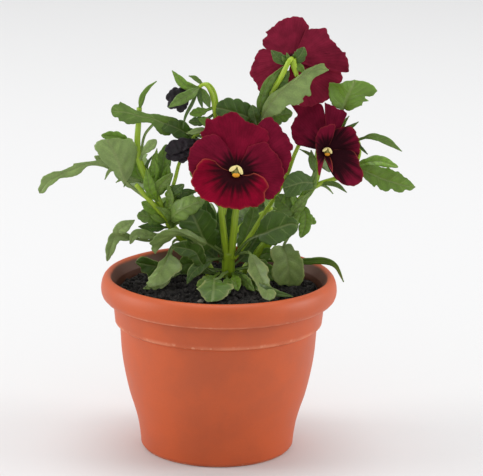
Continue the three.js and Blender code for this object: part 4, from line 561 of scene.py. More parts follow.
# Open blooms: the middle, the side it faces (1 to the viewer, -1 away), the depths its hub spans,
# its eye's size, its ruffle, its petals from the rearmost as [layer, lean, bearing at the throat
# where it starts, where it ends, its rim as places [across, up] from the middle], and each petal's
# looks as [reach of its dark blotch in mm, strength of its pale margin, warmth from wine 0 to
# crimson 1].
BLOOMS = {
    "bloom_front": {
        "at": [10.5, 186.5, 15],
        "faces": 1,
        "hub": [-6, 1.7],
        "eye": 1,
        "ruffle": 1.4,
        "petals": [
            [-3.6, 0.04, 0, 70, [[32.5, -3.5], [36, 6.5], [37.5, 11], [36.5, 14], [38, 15.5],
             [33, 24.5], [29, 31], [23, 35.5], [18, 35], [13.5, 30.5]]],
            [-2, 0.03, 45, 137, [[22, 12], [20.5, 18.5], [22, 22.5], [18.5, 28.5], [11.5, 32],
             [7.5, 32], [2, 36.5], [-2, 40], [-7.5, 37.5], [-15.5, 34.5], [-20, 35], [-21.5, 28],
             [-23.5, 24], [-19, 17]]],
            [-0.6, 0.02, -50, 60, [[15.5, -14.5], [21.5, -19], [26, -16.5], [30, -12], [32, 1],
             [25.5, 13], [22.5, 15.5], [21, 18.5], [15.5, 19], [8, 16.5]]],
            [0.6, 0.02, 97, 200, [[-6.5, 17], [-11, 22], [-16.5, 24], [-22, 22.5], [-25, 20],
             [-30.5, 14], [-32, 7], [-29, -4.5], [-21, -9.5]]],
            [2.4, 0.04, 187, 316, [[-14, 6], [-20, 7.5], [-24, 5], [-28.5, -2.5], [-29, -9.5],
             [-24.5, -17], [-17, -21.5], [-8.5, -24.5], [1, -26], [8.5, -24.5], [13, -24.5],
             [19.5, -19.5], [19.5, -14.5], [21.5, -11], [20, -6], [16, -3], [12, -1.5]]],
        ],
        "looks": [[5, 0.08, 0.1], [10, 0.1, 0.35], [14, 0.18, 0.2], [13, 0.18, 0.15],
         [17, 0.75, 0.85]],
    },
    "bloom_top": {
        "at": [48, 264.2, -8],
        "faces": -1,
        "hub": [-5, 1.7],
        "eye": 0.9,
        "ruffle": 2.2,
        "petals": [
            [2.2, -0.48, 150, 235, [[-15.5, 6.5], [-20, 7.5], [-23.5, 3.5], [-27.5, -7.5],
             [-23.5, -16], [-20, -22.5], [-17.5, -26.5], [-9.5, -24]]],
            [-0.6, -0.22, 60, 150, [[8.5, 16.5], [11.5, 22.5], [8, 27.5], [4, 29], [-2, 29],
             [-9, 25.5], [-17, 19], [-16, 16.5], [-19.5, 13.5], [-19.5, 9.5], [-14.5, 5]]],
            [0.8, -0.19, -25, 62, [[22, -6], [37, -7], [38, -0.5], [36, 5.5], [34, 5.5],
             [28.5, 11.5], [24, 18], [23, 21.5], [19, 21.5], [14.5, 21.5], [9, 20.5]]],
            [-2.6, -0.25, -105, -15, [[-4.5, -20], [1, -27.5], [10.5, -30.5], [18.5, -29],
             [27, -23.5], [33.5, -13], [34, -6.5]]],
        ],
        "looks": [[4, 0.06, 0.3], [4, 0.06, 0.2], [4, 0.06, 0.2], [4, 0.1, 0.5]],
    },
    "bloom_right": {
        "at": [73, 200.8, -2],
        "faces": 1,
        "hub": [-6, 1.7],
        "eye": 0.72,
        "ruffle": 1.2,
        "petals": [
            [-4, 0.12, 55, 95, [[11, 20.5], [13, 25], [11.5, 27.5], [4.5, 30], [-2, 32.5]]],
            [-2.8, -0.12, 92, 170, [[-0.5, 20.5], [-3, 31], [-7, 33], [-13, 33], [-18, 31.5],
             [-24.5, 32.5], [-20, 25.5], [-24.5, 15.5], [-21, 5.5], [-16, 3.5]]],
            [-0.6, 0.14, -18, 76, [[18.5, -6.5], [22, -0.5], [21.5, 5], [19, 13.5], [15, 16.5],
             [10, 16.5], [5.5, 14.5], [3, 10.5]]],
            [1.6, 0.2, 236, 375, [[-1.5, -5.5], [1, -10.5], [5.5, -18.5], [12.5, -23.5],
             [18, -23.5], [22, -21], [24.5, -16], [21.5, -9], [20.5, -4.5], [17.5, 0], [11.5, 0.5]]],
            [4.2, 0.28, 240, 300, [[-2, -4], [1, -10.5], [3.5, -15]]],
            [3.6, 0.3, 70, 252, [[3.5, 8.5], [5, 16], [2.5, 17.5], [-2, 16], [-6, 13.5], [-8, 7],
             [-7.5, -2], [-6.5, -9.5], [-6, -16], [-5, -17.5]]],
        ],
        "looks": [[8, 0.15, 0], [14, 0.15, 0], [20, 0.2, 0.1], [25, 0.45, 0.1], [10, 0.7, 0.1],
         [10, 0.25, 0.1]],
    },
}

# Spent blooms: each shrivelled petal is [width, degrees turned, places].
BUDS = {
    "bud_upper": {
        "at": [-20.5, 239.5, -6],
        "petals": [
            [9, 0, [[-20, 240, -5.5], [-29, 238.5, -3.5], [-38.5, 235.5, -3]]],
            [9, 0, [[-20, 239, -6.5], [-27, 233, -5], [-28.5, 226, -5]]],
            [10, 20, [[-20.5, 239.5, -7.5], [-30, 234, -7], [-37, 229.5, -7]]],
            [8, -20, [[-20.5, 240, -7], [-29, 240, -8], [-36.5, 239.5, -8]]],
        ],
    },
    "bud_lower": {
        "at": [-15.5, 206, -5],
        "petals": [
            [10, 0, [[-15, 206.5, -5], [-27, 204, -2], [-38.5, 199.5, -1]]],
            [10, 0, [[-15, 205.5, -5], [-27, 198.5, -2], [-38, 195, -1.5]]],
            [10, 20, [[-16, 205, -6], [-24, 198, -4], [-28, 191.5, -4]]],
            [9, -20, [[-16, 205.5, -6], [-26, 200, -5.5], [-34, 193, -5.5]]],
        ],
    },
}


def seen(places):
    """Carries [across, up, out] places along the eye's lines of sight to their depth."""
    p = np.atleast_2d(np.asarray(places, float))
    flat = AIM + p[:, :1] * ACROSS + (p[:, 1:2] - AIM_UP) * UPWARD
    share = (-p[:, 2:] - flat[:, 1:2]) / (EYE[1] - flat[:, 1:2])
    return flat + (EYE - flat) * share


def unit(v):
    """The vectors cut to a length of one."""
    return v / np.linalg.norm(v, axis=-1, keepdims=True)


def smooth_run(points, count):
    """Catmull-Rom curve through the points, cut into count points at even steps of length, and
    that length."""
    p = np.asarray(points, float)
    ends = np.vstack([2 * p[0] - p[1], p, 2 * p[-1] - p[-2]])
    t = np.linspace(0, len(p) - 1, CURVE_STEPS * (len(p) - 1) + 1)
    i = np.minimum(t.astype(int), len(p) - 2)
    f = (t - i)[:, None]
    a, b, c, d = ends[i], ends[i + 1], ends[i + 2], ends[i + 3]
    square = (2 * a - 5 * b + 4 * c - d) * f**2
    cube = (3 * b - a - 3 * c + d) * f**3
    q = 0.5 * (2 * b + (c - a) * f + square + cube)
    run = np.concatenate([[0], np.cumsum(np.linalg.norm(np.diff(q, axis=0), axis=1))])
    want = np.linspace(0, run[-1], count)
    return np.column_stack([np.interp(want, run, q[:, k]) for k in range(q.shape[1])]), run[-1]


def frames_along(path, turn):
    """Directions along a path, out of its face and across it. The face looks to the eye halfway,
    turned by the angle given, and is carried to both ends without twisting."""
    along = unit(np.gradient(path, axis=0))
    middle = len(path) // 2
    to_eye = unit(TO_EYE - (TO_EYE @ along[middle]) * along[middle])
    side = np.cross(along[middle], to_eye)
    face = np.empty_like(path)
    face[middle] = math.cos(turn) * to_eye + math.sin(turn) * side
    for i in range(middle + 1, len(path)):
        face[i] = unit(face[i - 1] - (face[i - 1] @ along[i]) * along[i])
    for i in range(middle - 1, -1, -1):
        face[i] = unit(face[i + 1] - (face[i + 1] @ along[i]) * along[i])
    return along, face, np.cross(along, face)


def waves(places, size, count, seed):
    """Smooth noise, mostly from -1 to 1: a sum of sine waves of about the given size, in random
    directions and phases, at each of the places."""
    random = np.random.default_rng(seed)
    way = unit(random.normal(size=(count, places.shape[-1])))
    pitch = 2 * math.pi / (size * random.uniform(*WAVE_SPREAD, count))
    phase = random.uniform(0, 2 * math.pi, count)
    turns = places @ (way * pitch[:, None]).T + phase
    return np.sin(turns).sum(-1) / math.sqrt(count) * 0.8


def closed_sheet(front, back, uv, values):
    """Two like grids of points, front and back, joined round their edge into one closed skin."""
    rows, columns = front.shape[:2]
    count = rows * columns
    index = np.arange(count).reshape(rows, columns)
    face = np.stack([index[:-1, :-1], index[:-1, 1:], index[1:, 1:], index[1:, :-1]], -1)
    face = face.reshape(-1, 4)
    rim = np.concatenate([index[0, :-1], index[:-1, -1], index[-1, :0:-1], index[:0:-1, 0]])
    after = np.roll(rim, -1)
    wall = np.stack([after, rim, rim + count, after + count], -1)
    both = {}
    for name, value in values.items():
        both[name] = np.tile(np.broadcast_to(value, (rows, columns)).ravel(), 2)
    both["under"] = np.repeat([0.0, 1.0], count)
    return {
        "points": np.concatenate([front.reshape(-1, 3), back.reshape(-1, 3)]),
        "quads": np.concatenate([face, face[:, ::-1] + count, wall]),
        "fans": np.empty((0, 3), int),
        "uv": np.tile(uv.reshape(-1, 2), (2, 1)),
        "values": both,
    }


def closed_rings(rings, uv, values):
    """Rings of points set one after another into a tube, its two ends closed by fans."""
    count, sides = rings.shape[:2]
    index = np.arange(count * sides).reshape(count, sides)
    ahead = np.roll(index, -1, axis=1)
    quads = np.stack([index[:-1], ahead[:-1], ahead[1:], index[1:]], -1).reshape(-1, 4)
    first, last = count * sides, count * sides + 1
    start = np.stack([np.full(sides, first), ahead[0], index[0]], -1)
    end = np.stack([np.full(sides, last), index[-1], ahead[-1]], -1)
    ends = np.stack([rings[0].mean(0), rings[-1].mean(0)])
    spread = {}
    for name, value in values.items():
        spread[name] = np.concatenate([np.repeat(value, sides), [value[0], value[-1]]])
    return {
        "points": np.concatenate([rings.reshape(-1, 3), ends]),
        "quads": quads,
        "fans": np.concatenate([start, end]),
        "uv": np.concatenate([uv.reshape(-1, 2), uv[[0, -1], 0]]),
        "values": spread,
    }


def stem_tube(foot, tip, places, tone):
    """A stem: rings about a smooth path whose radius tapers evenly, with soft ridges that wind a
    little."""
    spots = seen(places)
    count = max(FEWEST_STEM_RINGS, int(smooth_run(spots, 2)[1] / STEM_STEP))
    path, length = smooth_run(spots, count)
    _, face, side = frames_along(path, 0.0)
    share = np.linspace(0, 1, count)
    angle = np.linspace(0, 2 * math.pi, STEM_SIDES, endpoint=False)
    wave = np.cos(RIDGES["count"] * angle + RIDGES["twist"] * share[:, None])
    ridged = 1 - RIDGES["depth"] + RIDGES["depth"] * wave
    radius = (foot + (tip - foot) * share)[:, None] * ridged
    across, up = np.cos(angle)[None, :, None], np.sin(angle)[None, :, None]
    rings = path[:, None] + radius[..., None] * (across * face[:, None] + up * side[:, None])
    around = 0.5 + 0.5 * np.cos(angle)[None]
    uv = np.stack(np.broadcast_arrays(around, share[:, None] * length / STEM_UV_SPAN), -1)
    return closed_rings(rings, uv, {"tone": np.full(count, tone)})


def toothed(kind, opened, seed):
    """Share of the full half width at each row: rounded teeth that lean to the tip, each with its
    own depth, cut into a power of a sine."""
    body = np.sin(math.pi * opened ** kind["skew"]).clip(0) ** kind["fullness"]
    place = opened * (kind["teeth"] + 0.5)
    depth = np.random.default_rng(seed).uniform(*TOOTH["depths"], TOOTH["most"])[place.astype(int)]
    arch = np.sin(math.pi * (place % 1.0) ** TOOTH["lean"]).clip(0) ** TOOTH["roundness"]
    return body * (1 - depth * kind["bite"] * (1 - arch))


def reach_rims(path, side, opened, least, rims, lean, seed):
    """Vectors from the midrib to its left and right rims: each rim is a smooth curve through its
    places, walked at the midrib's pace, at the midrib's depth plus a lean with distance, and
    notched by small waves."""
    edges = []
    walked = np.linspace(0, 1, RIM_STEPS)
    for rim, way in zip(rims, (-1, 1)):
        curve, length = smooth_run(rim, RIM_STEPS)
        spot = np.column_stack([np.interp(opened, walked, curve[:, k]) for k in (0, 1)])
        level = seen(np.column_stack([spot, -path[:, 1]]))
        away = np.linalg.norm(level - path, axis=1)
        turned = seen(np.column_stack([spot, -path[:, 1] - way * math.tan(lean) * away]))
        notch = 1 - np.abs(np.sin(math.pi * (length / NOTCH["length"]) * opened + seed + way))
        edge = (turned - path) * (1 - NOTCH["depth"] * notch)[:, None]
        away = np.linalg.norm(edge, axis=1)
        clear = ((away > least) & (opened > 0))[:, None]
        edges.append(np.where(clear, edge, way * side * least[:, None]))
    return edges


def leaf_blade(outline, wide, turn, fold, stalk, places, tone, rims=None, seed=0, wrinkle=0.0):
    """A leaf: its half width is a toothed power of a sine of the way along, or reaches to its two
    rims; its height is a fold along the midrib, a shallow cup, a wavy edge and pillows between
    the veins."""
    kind = OUTLINES[outline]
    spots = seen(places)
    rows = int(np.clip(smooth_run(spots, 2)[1] / LEAF_STEP, *LEAF_ROWS))
    columns = 2 * int(np.clip(wide / COLUMN_WIDTH, *LEAF_HALF_COLUMNS)) + 1
    path, length = smooth_run(spots, rows)
    _, face, side = frames_along(path, math.radians(turn))
    share = np.linspace(0, 1, rows)
    opened = np.clip((share - stalk) / (1 - stalk), 0, 1)
    least = STALK_HALF * (1 - opened) + TIP_HALF * opened
    if rims:
        back = math.cos(math.radians(turn)) < 0
        lean = math.radians(turn - 180 if back else turn)
        edges = reach_rims(path, -side if back else side, opened, least, rims, lean, seed)
        edges = edges[::-1] if back else edges
    else:
        halves = [wide / 2 * toothed(kind, opened, 2 * seed + right) for right in (0, 1)]
        edges = [way * side * np.maximum(half, least)[:, None] for way, half in zip((-1, 1), halves)]
    across = np.linspace(-1, 1, columns)[None]
    off_rib = np.abs(across)
    reach = [np.linalg.norm(edge, axis=1)[:, None] for edge in edges]
    width = np.where(across < 0, reach[0], reach[1])
    blade = np.clip(opened * 4, 0, 1)[:, None] * np.clip(width / 3, 0, 1)
    vein = (share[:, None] * length - VEIN_SLANT * width * off_rib) / length
    crest = np.abs(np.sin(math.pi * VEIN_PAIRS * vein)) * (1 - across**2) * np.clip(off_rib * 4, 0, 1)
    beat = np.sin(2 * math.pi * RIPPLE["waves"] * share[:, None] + seed + across)
    ripple = RIPPLE["depth"] * width * beat * across**2
    folded = fold * np.sqrt(across**2 + FOLD_ROUND**2) - FOLD_ROUND * fold
    height = width * (folded + BLADE_CUP * across**2) + blade * (PILLOW * crest + ripple)
    thinner = (BLADE_HALF_THICK - STALK_HALF_THICK) * np.clip(3 * opened, 0, 1)[:, None]
    thick = (STALK_HALF_THICK + thinner) * (1 - EDGE_THINNING * off_rib**4 * blade)
    rib = RIB["depth"] * np.exp(-((across * width / RIB["half"]) ** 2)) * (1 - opened[:, None]) * blade
    out = np.where(across[..., None] < 0, edges[0][:, None], edges[1][:, None])
    middle = path[:, None] + out * off_rib[..., None]
    if wrinkle:
        height = height + wrinkle * waves(middle, WRINKLE_SIZE, WRINKLE_WAVES, seed)
    upper = (height + thick - 0.5 * rib)[..., None] * face[:, None]
    lower = (height - thick - rib)[..., None] * face[:, None]
    uv = np.stack(np.broadcast_arrays(0.5 + width * across / (2.2 * width.max()), vein), -1)
    old = 1 - np.clip((middle[..., 2].min() - OLD_LEAF_LEVEL) / OLD_LEAF_SPAN, 0, 1)
    values = {
        "tone": np.full((rows, columns), float(tone)),
        "edge": off_rib ** (6 - 4.5 * old) * (0.45 + 0.55 * old) * blade,
        # The pillows' height, also read by the leaf finish to paint light on their tops and shade along
        # the veins.
        "crest": crest * blade,
    }
    return closed_sheet(middle + upper, middle + lower, uv, values)


def petal_sheet(middle, petal, ruffle, dark, seed):
    """A petal: a smooth curve through its rim's places, nicked by small waves; lines run from the
    throat to it, turning evenly on the way. Its height is its layer, its lean, the bloom's shared
    ruffle, fine creases that spread from the throat and a small curl of the rim."""
    layer, lean, first, last, places = petal
    columns = int(np.clip(smooth_run(places, 2)[1] / PETAL_STEP, *PETAL_COLUMNS))
    curve, length = smooth_run(places, columns)
    curve = curve[::-1]
    reach = np.hypot(curve[:, 0], curve[:, 1])
    bearing = np.unwrap(np.arctan2(curve[:, 1], curve[:, 0]))
    start = np.radians(np.linspace(last, first, columns))
    bearing += 2 * math.pi * np.round((start[columns // 2] - bearing[columns // 2]) / (2 * math.pi))
    nicks = sum(d * np.sin(n * bearing + (k + 1) * seed) for k, (d, n) in enumerate(PETAL_NICKS))
    edge = (reach * (1 + nicks))[None]
    out = np.linspace(0, 1, PETAL_ROWS)[:, None]
    radius = THROAT + (edge - THROAT) * out
    angle = start + (bearing - start) * out
    clear = radius - THROAT
    far = radius / RUFFLE_SPAN
    wave = ruffle * far**2 * (np.sin(RUFFLES * angle) + 0.45 * far * np.sin(FINE_RUFFLES * angle + 1))
    fan = np.sin(CREASES * angle + seed + 0.8 * np.sin(6 * out))
    crease = CREASE_DEPTH * fan * out * (1 - 0.4 * out)
    outer = np.clip((out - CURL_START) / (1 - CURL_START), 0, 1)
    curl = CURL * outer**2 * np.sin(CURLS * angle + seed)
    depth = layer * np.minimum(1, clear / LAYER_RISE) + lean * clear + wave + crease + curl
    flat = np.stack([radius * np.cos(angle), radius * np.sin(angle), depth], -1)
    base = middle + flat @ np.stack([ACROSS, UPWARD, TO_EYE])
    thick = PETAL_HALF_THICK * (1 - 0.55 * out**3)
    lift = (thick * np.ones_like(radius))[..., None] * TO_EYE
    uv = np.stack(np.broadcast_arrays(np.linspace(0, 1, columns)[None], out), -1)
    rays = radius * (1 + sum(d * np.sin(n * angle + phase) for d, n, phase in PETAL_RAYS))
    side = np.minimum(np.arange(columns), np.arange(columns)[::-1]) * length / columns
    inner = np.minimum(edge - radius, side[None] * (0.25 + 0.75 * out))
    values = {
        "reach": rays / dark["reach"],
        "rim": np.clip((MARGIN - inner) / MARGIN_FADE, 0, 1) * np.clip(out * 4 - 0.4, 0, 1) * dark["rim"],
        "warmth": np.full(radius.shape, dark["warmth"]),
        "sweep": angle,
    }
    return closed_sheet(base + lift, base - lift, uv, values)


def boss(middle, faces, profile):
    """A round boss on a bloom's axis: rings of the profile's [radius, depth]."""
    axis = TO_EYE * faces
    second = np.cross(axis, ACROSS)
    angle = np.linspace(0, 2 * math.pi, BOSS_SIDES, endpoint=False)
    table = np.asarray(profile, float)
    circle = np.cos(angle)[:, None] * ACROSS + np.sin(angle)[:, None] * second
    rings = middle + table[:, 1, None, None] * axis + table[:, 0, None, None] * circle[None]
    return closed_rings(rings, np.zeros(rings.shape[:2] + (2,)), {})


def dome(middle, sizes, axes, tone):
    """An ellipsoid: rings of cosine radius at sine heights along its third axis."""
    rise = np.linspace(-math.pi / 2, math.pi / 2, DOME_ROWS)[1:-1]
    angle = np.linspace(0, 2 * math.pi, DOME_SIDES, endpoint=False)
    a, b, c = (np.asarray(axis) * size for axis, size in zip(axes, sizes))
    ring = np.cos(angle)[:, None] * a + np.sin(angle)[:, None] * b
    rings = middle + np.cos(rise)[:, None, None] * ring[None] + np.sin(rise)[:, None, None] * c
    even = np.full(len(rise), tone)
    part = closed_rings(rings, np.zeros(rings.shape[:2] + (2,)), {"tone": even})
    part["points"][-2:] = middle - c, middle + c
    return part


def lathe(profile, sides):
    """Rings of the profile's [radius, height] about the Z axis, as points."""
    angle = np.linspace(0, 2 * math.pi, sides, endpoint=False)
    table = np.asarray(profile, float)
    circle = np.stack([np.cos(angle), np.sin(angle)], -1)
    rings = np.empty((len(table), sides, 3))
    rings[..., :2] = table[:, 0, None, None] * circle[None]
    rings[..., 2] = table[:, 1, None]
    return rings


def pot_profile():
    """The pot's runs, each a smooth curve, with a close pair of points at each corner."""
    rows = []
    for run in POT_RUNS:
        length = smooth_run(run, 2)[1]
        points, _ = smooth_run(run, max(2, int(length / POT_STEP)) + 1)
        inset = min(CORNER_INSET, length / 4) / length
        near, far = smooth_run(run, int(round(1 / inset)) + 1)[0][[1, -2]]
        rows += [points[:1], near[None], points[1:-1], far[None]]
    rows.append(np.array(POT_RUNS[-1][-1:], float))
    return np.concatenate(rows)


def soil_top(x, y):
    """The low mound at the plant's crown with slow lumps: a bell curve and crossed waves."""
    away = (x - MOUND["x"]) ** 2 + (y - MOUND["y"]) ** 2
    crossed = np.sin(LUMP_WAVES["x"] * x + LUMP_WAVES["start"]) * np.cos(LUMP_WAVES["y"] * y)
    lumps = crossed + LUMP_WAVES["share"] * np.sin(LUMP_WAVES["slant"] * (x + 2 * y))
    return SOIL_LEVEL + MOUND["height"] * np.exp(-away / MOUND["spread"] ** 2) + LUMP * lumps


def put_piece(name, parts, finishes, slot, *nodes):
    """Joins the parts into one mesh in metres, with their UVs, point values and finishes, rides it
    on the root and lets it stand for the nodes."""
    starts = np.cumsum([0] + [len(part["points"]) for part in parts])[:-1]
    faces, slots = [], []
    for part, start in zip(parts, starts):
        faces += (part["quads"] + start).tolist() + (part["fans"] + start).tolist()
        slots.append(np.full(len(part["quads"]) + len(part["fans"]), part.get("slot", 0)))
    points = np.concatenate([part["points"] for part in parts]) * MM
    mesh = bpy.data.meshes.new(name)
    mesh.from_pydata(points, [], faces)
    mesh.polygons.foreach_set("material_index", np.concatenate(slots).astype(np.int32))
    mesh.polygons.foreach_set("use_smooth", np.ones(len(faces), bool))
    corner = np.empty(len(mesh.loops), np.int32)
    mesh.loops.foreach_get("vertex_index", corner)
    uv = np.concatenate([part["uv"] for part in parts])
    mesh.uv_layers.new(name="surface").data.foreach_set("uv", uv[corner].astype(np.float32).ravel())
    for value in sorted({key for part in parts for key in part["values"]}):
        each = [part["values"].get(value, np.zeros(len(part["points"]))) for part in parts]
        layer = mesh.attributes.new(value, "FLOAT", "POINT")
        layer.data.foreach_set("value", np.concatenate(each).astype(np.float32))
    for finish in finishes:
        mesh.materials.append(finish)
    mesh.update()
    piece = bpy.data.objects.new(name, mesh)
    bpy.context.scene.collection.objects.link(piece)
    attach(piece, "root")
    if nodes:
        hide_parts(*nodes)
    return piece


def node(tree, kind, inputs=None, **settings):
    """A new node with its settings; each input is linked to a socket or set to a value."""
    made = tree.nodes.new(kind)
    for key, value in settings.items():
        setattr(made, key, value)
    for key, value in (inputs or {}).items():
        if isinstance(value, bpy.types.NodeSocket):
            tree.links.new(value, made.inputs[key])
        else:
            made.inputs[key].default_value = value
    return made


def maths(tree, operation, *terms):
    """The output of a Math node on the terms."""
    return node(tree, "ShaderNodeMath", dict(enumerate(terms)), operation=operation).outputs[0]


def times(tree, first, second):
    """The product of two values."""
    return maths(tree, "MULTIPLY", first, second)


def blend(tree, factor, first, second, mode="MIX"):
    """The second colour over the first by the factor."""
    inputs = {0: factor, 6: first, 7: second}
    return node(tree, "ShaderNodeMix", inputs, data_type="RGBA", blend_type=mode).outputs[2]


def lit(tree, base, light):
    """The base colour multiplied by a grey light."""
    grey = node(tree, "ShaderNodeCombineColor", {0: light, 1: light, 2: light}).outputs[0]
    return blend(tree, 1.0, base, grey, "MULTIPLY")


def ramp(tree, value, low, high, to_low=0.0, to_high=1.0):
    """A smooth step of the value between low and high."""
    inputs = {"Value": value, 1: low, 2: high, 3: to_low, 4: to_high}
    return node(tree, "ShaderNodeMapRange", inputs, interpolation_type="SMOOTHSTEP").outputs[0]


def value_of(tree, name):
    """The value of the mesh's attribute of that name."""
    return node(tree, "ShaderNodeAttribute", attribute_name=name).outputs["Fac"]


def surface_uv(tree):
    """The two parts of the mesh's own UV map."""
    place = node(tree, "ShaderNodeUVMap", uv_map="surface").outputs[0]
    return node(tree, "ShaderNodeSeparateXYZ", {0: place}).outputs


def tone_bands(tree, *colours):
    """The colour for the surface's tone, which runs from 0 to 3 through the four given."""
    share = maths(tree, "DIVIDE", value_of(tree, "tone"), 3.0)
    bands = node(tree, "ShaderNodeValToRGB", {"Fac": share})
    steps = bands.color_ramp.elements
    steps[0].color, steps[1].color = colours[0], colours[3]
    steps.new(1 / 3).color = colours[1]
    steps.new(2 / 3).color = colours[2]
    return bands.outputs[0]


def colour(red, green, blue):
    """A colour given as it looks on a screen, 0 to 255, as the shader's linear values."""
    screen = np.array([red, green, blue]) / 255
    linear = np.where(screen <= 0.04045, screen / 12.92, ((screen + 0.055) / 1.055) ** 2.4)
    return (*linear, 1.0)


def solid(setting):
    """A colour setting with its alpha."""
    return (*setting, 1.0)


def mottling():
    """Shared group: slow patches and fine specks on Object coordinates, each about 0.5, and a
    height for bumps made of both."""
    name = "Mottling"
    if name in bpy.data.node_groups:
        return bpy.data.node_groups[name]
    tree = bpy.data.node_groups.new(name, "ShaderNodeTree")
    face = tree.interface
    for label, value in (("Patch size", 0.02), ("Speck size", 0.001), ("Roughness of patches", 0.6)):
        face.new_socket(label, in_out="INPUT", socket_type="NodeSocketFloat").default_value = value
    for label in ("Patches", "Specks", "Height"):
        face.new_socket(label, in_out="OUTPUT", socket_type="NodeSocketFloat")
    given = node(tree, "NodeGroupInput").outputs
    spot = node(tree, "ShaderNodeTexCoord").outputs["Object"]
    sizes = [maths(tree, "DIVIDE", 1.0, given[k]) for k in (0, 1)]
    broad = {"Vector": spot, "Scale": sizes[0], "Detail": 4.0, "Roughness": given[2]}
    slow = node(tree, "ShaderNodeTexNoise", broad).outputs[0]
    narrow = {"Vector": spot, "Scale": sizes[1], "Detail": 3.0}
    fine = node(tree, "ShaderNodeTexNoise", narrow).outputs[0]
    height = maths(tree, "ADD", times(tree, slow, 0.6), times(tree, fine, 0.4))
    node(tree, "NodeGroupOutput", {0: slow, 1: fine, 2: height})
    return tree


def start_finish(name, patch, speck, **shader):
    """A material with its Principled shader and its own mottling; the shader's even values are
    set on its sockets."""
    material = bpy.data.materials.new(name)
    material.use_nodes = True
    tree = material.node_tree
    principled = next(n for n in tree.nodes if n.type == "BSDF_PRINCIPLED")
    for key, value in shader.items():
        principled.inputs[key.replace("_", " ")].default_value = value
    group = node(tree, "ShaderNodeGroup", node_tree=mottling())
    group.inputs[0].default_value, group.inputs[1].default_value = patch, speck
    return material, tree, principled, group.outputs


def bump(tree, height, strength, distance):
    """A bumped normal from a height."""
    inputs = {"Height": height, "Strength": strength, "Distance": distance}
    return node(tree, "ShaderNodeBump", inputs).outputs[0]


def link(tree, shader, **sockets):
    """Feeds each value to the shader's socket of that name."""
    for key, value in sockets.items():
        tree.links.new(value, shader.inputs[key.replace("_", " ")])


def leaf_finish(looks):
    """Leaf skin: dark, mid, bright or pale green by its tone, paler beneath, with a light midrib
    and side veins, painted light on the pillow tops, painted shade along the veins and edges, yellowish
    worn edges and a soft gloss."""
    made, tree, shader, mottle = start_finish(
        "leaf_skin", 0.012, 0.0007, Specular_IOR_Level=0.45, Subsurface_Weight=0.12,
        Subsurface_Scale=0.002, Subsurface_Radius=(0.6, 1.0, 0.25),
    )
    greens = (looks.leaf_dark, looks.leaf_mid, looks.leaf_bright, looks.leaf_pale)
    bands = tone_bands(tree, *(solid(green) for green in greens))
    pale = blend(tree, times(tree, value_of(tree, "under"), 0.45), bands, solid(looks.leaf_pale))
    uv = surface_uv(tree)
    from_rib = maths(tree, "ABSOLUTE", maths(tree, "SUBTRACT", uv[0], 0.5))
    rib = ramp(tree, from_rib, 0.045, 0.008)
    along = times(tree, uv[1], 2 * math.pi * DRAWN_VEINS)
    drift = maths(tree, "ADD", along, times(tree, mottle[0], 4.0))
    line = ramp(tree, maths(tree, "COSINE", drift), 0.93, 1.0)
    side = times(tree, line, ramp(tree, from_rib, 0.5, 0.1))
    veins = maths(tree, "MAXIMUM", rib, times(tree, side, 0.55))
    veined = blend(tree, times(tree, veins, 0.4), pale, solid(looks.vein))
    patch = ramp(tree, mottle[0], 0.3, 0.7, 0.88, 1.12)
    speck = ramp(tree, mottle[1], 0.3, 0.7, 0.9, 1.1)
    # Painted light and shade: pillow tops between the veins lightened, the midrib, side veins and edges
    # darkened.
    crest = ramp(tree, value_of(tree, "crest"), 0.05, 0.9, 0.9, 1.08)
    shaded = lit(tree, veined, times(tree, times(tree, patch, speck), crest))
    worn = times(
        tree, ramp(tree, value_of(tree, "edge"), 0.25, 0.95), ramp(tree, mottle[0], 0.4, 0.6, 0.4, 1.0)
    )
    final = blend(tree, times(tree, worn, 0.8), shaded, solid(looks.leaf_margin))
    gloss = ramp(tree, mottle[1], 0.2, 0.8, 0.34, 0.52)
    relief = maths(tree, "SUBTRACT", times(tree, mottle[2], 0.6), times(tree, veins, 0.3))
    link(tree, shader, Base_Color=final, Roughness=gloss, Normal=bump(tree, relief, 0.8, 0.0005))
    return made


def stem_finish(looks):
    """Stem skin: juicy yellow-green with lengthwise streaks, darker low down."""
    made, tree, shader, mottle = start_finish(
        "stem_skin", 0.008, 0.0006, Specular_IOR_Level=0.45, Subsurface_Weight=0.15,
        Subsurface_Scale=0.002, Subsurface_Radius=(0.6, 1.0, 0.2),
    )
    up = ramp(tree, value_of(tree, "tone"), 0.0, 1.0)
    base = blend(tree, up, solid(looks.stem_dark), solid(looks.stem_bright))
    streak = maths(tree, "SINE", times(tree, surface_uv(tree)[0], 22.0))
    light = ramp(tree, maths(tree, "ADD", streak, mottle[0]), -0.8, 1.6, 0.82, 1.18)
    gloss = ramp(tree, mottle[1], 0.2, 0.8, 0.32, 0.5)
    relief = maths(tree, "ADD", times(tree, streak, 0.3), mottle[2])
    normal = bump(tree, relief, 0.4, 0.0002)
    link(tree, shader, Base_Color=lit(tree, base, light), Roughness=gloss, Normal=normal)
    return made


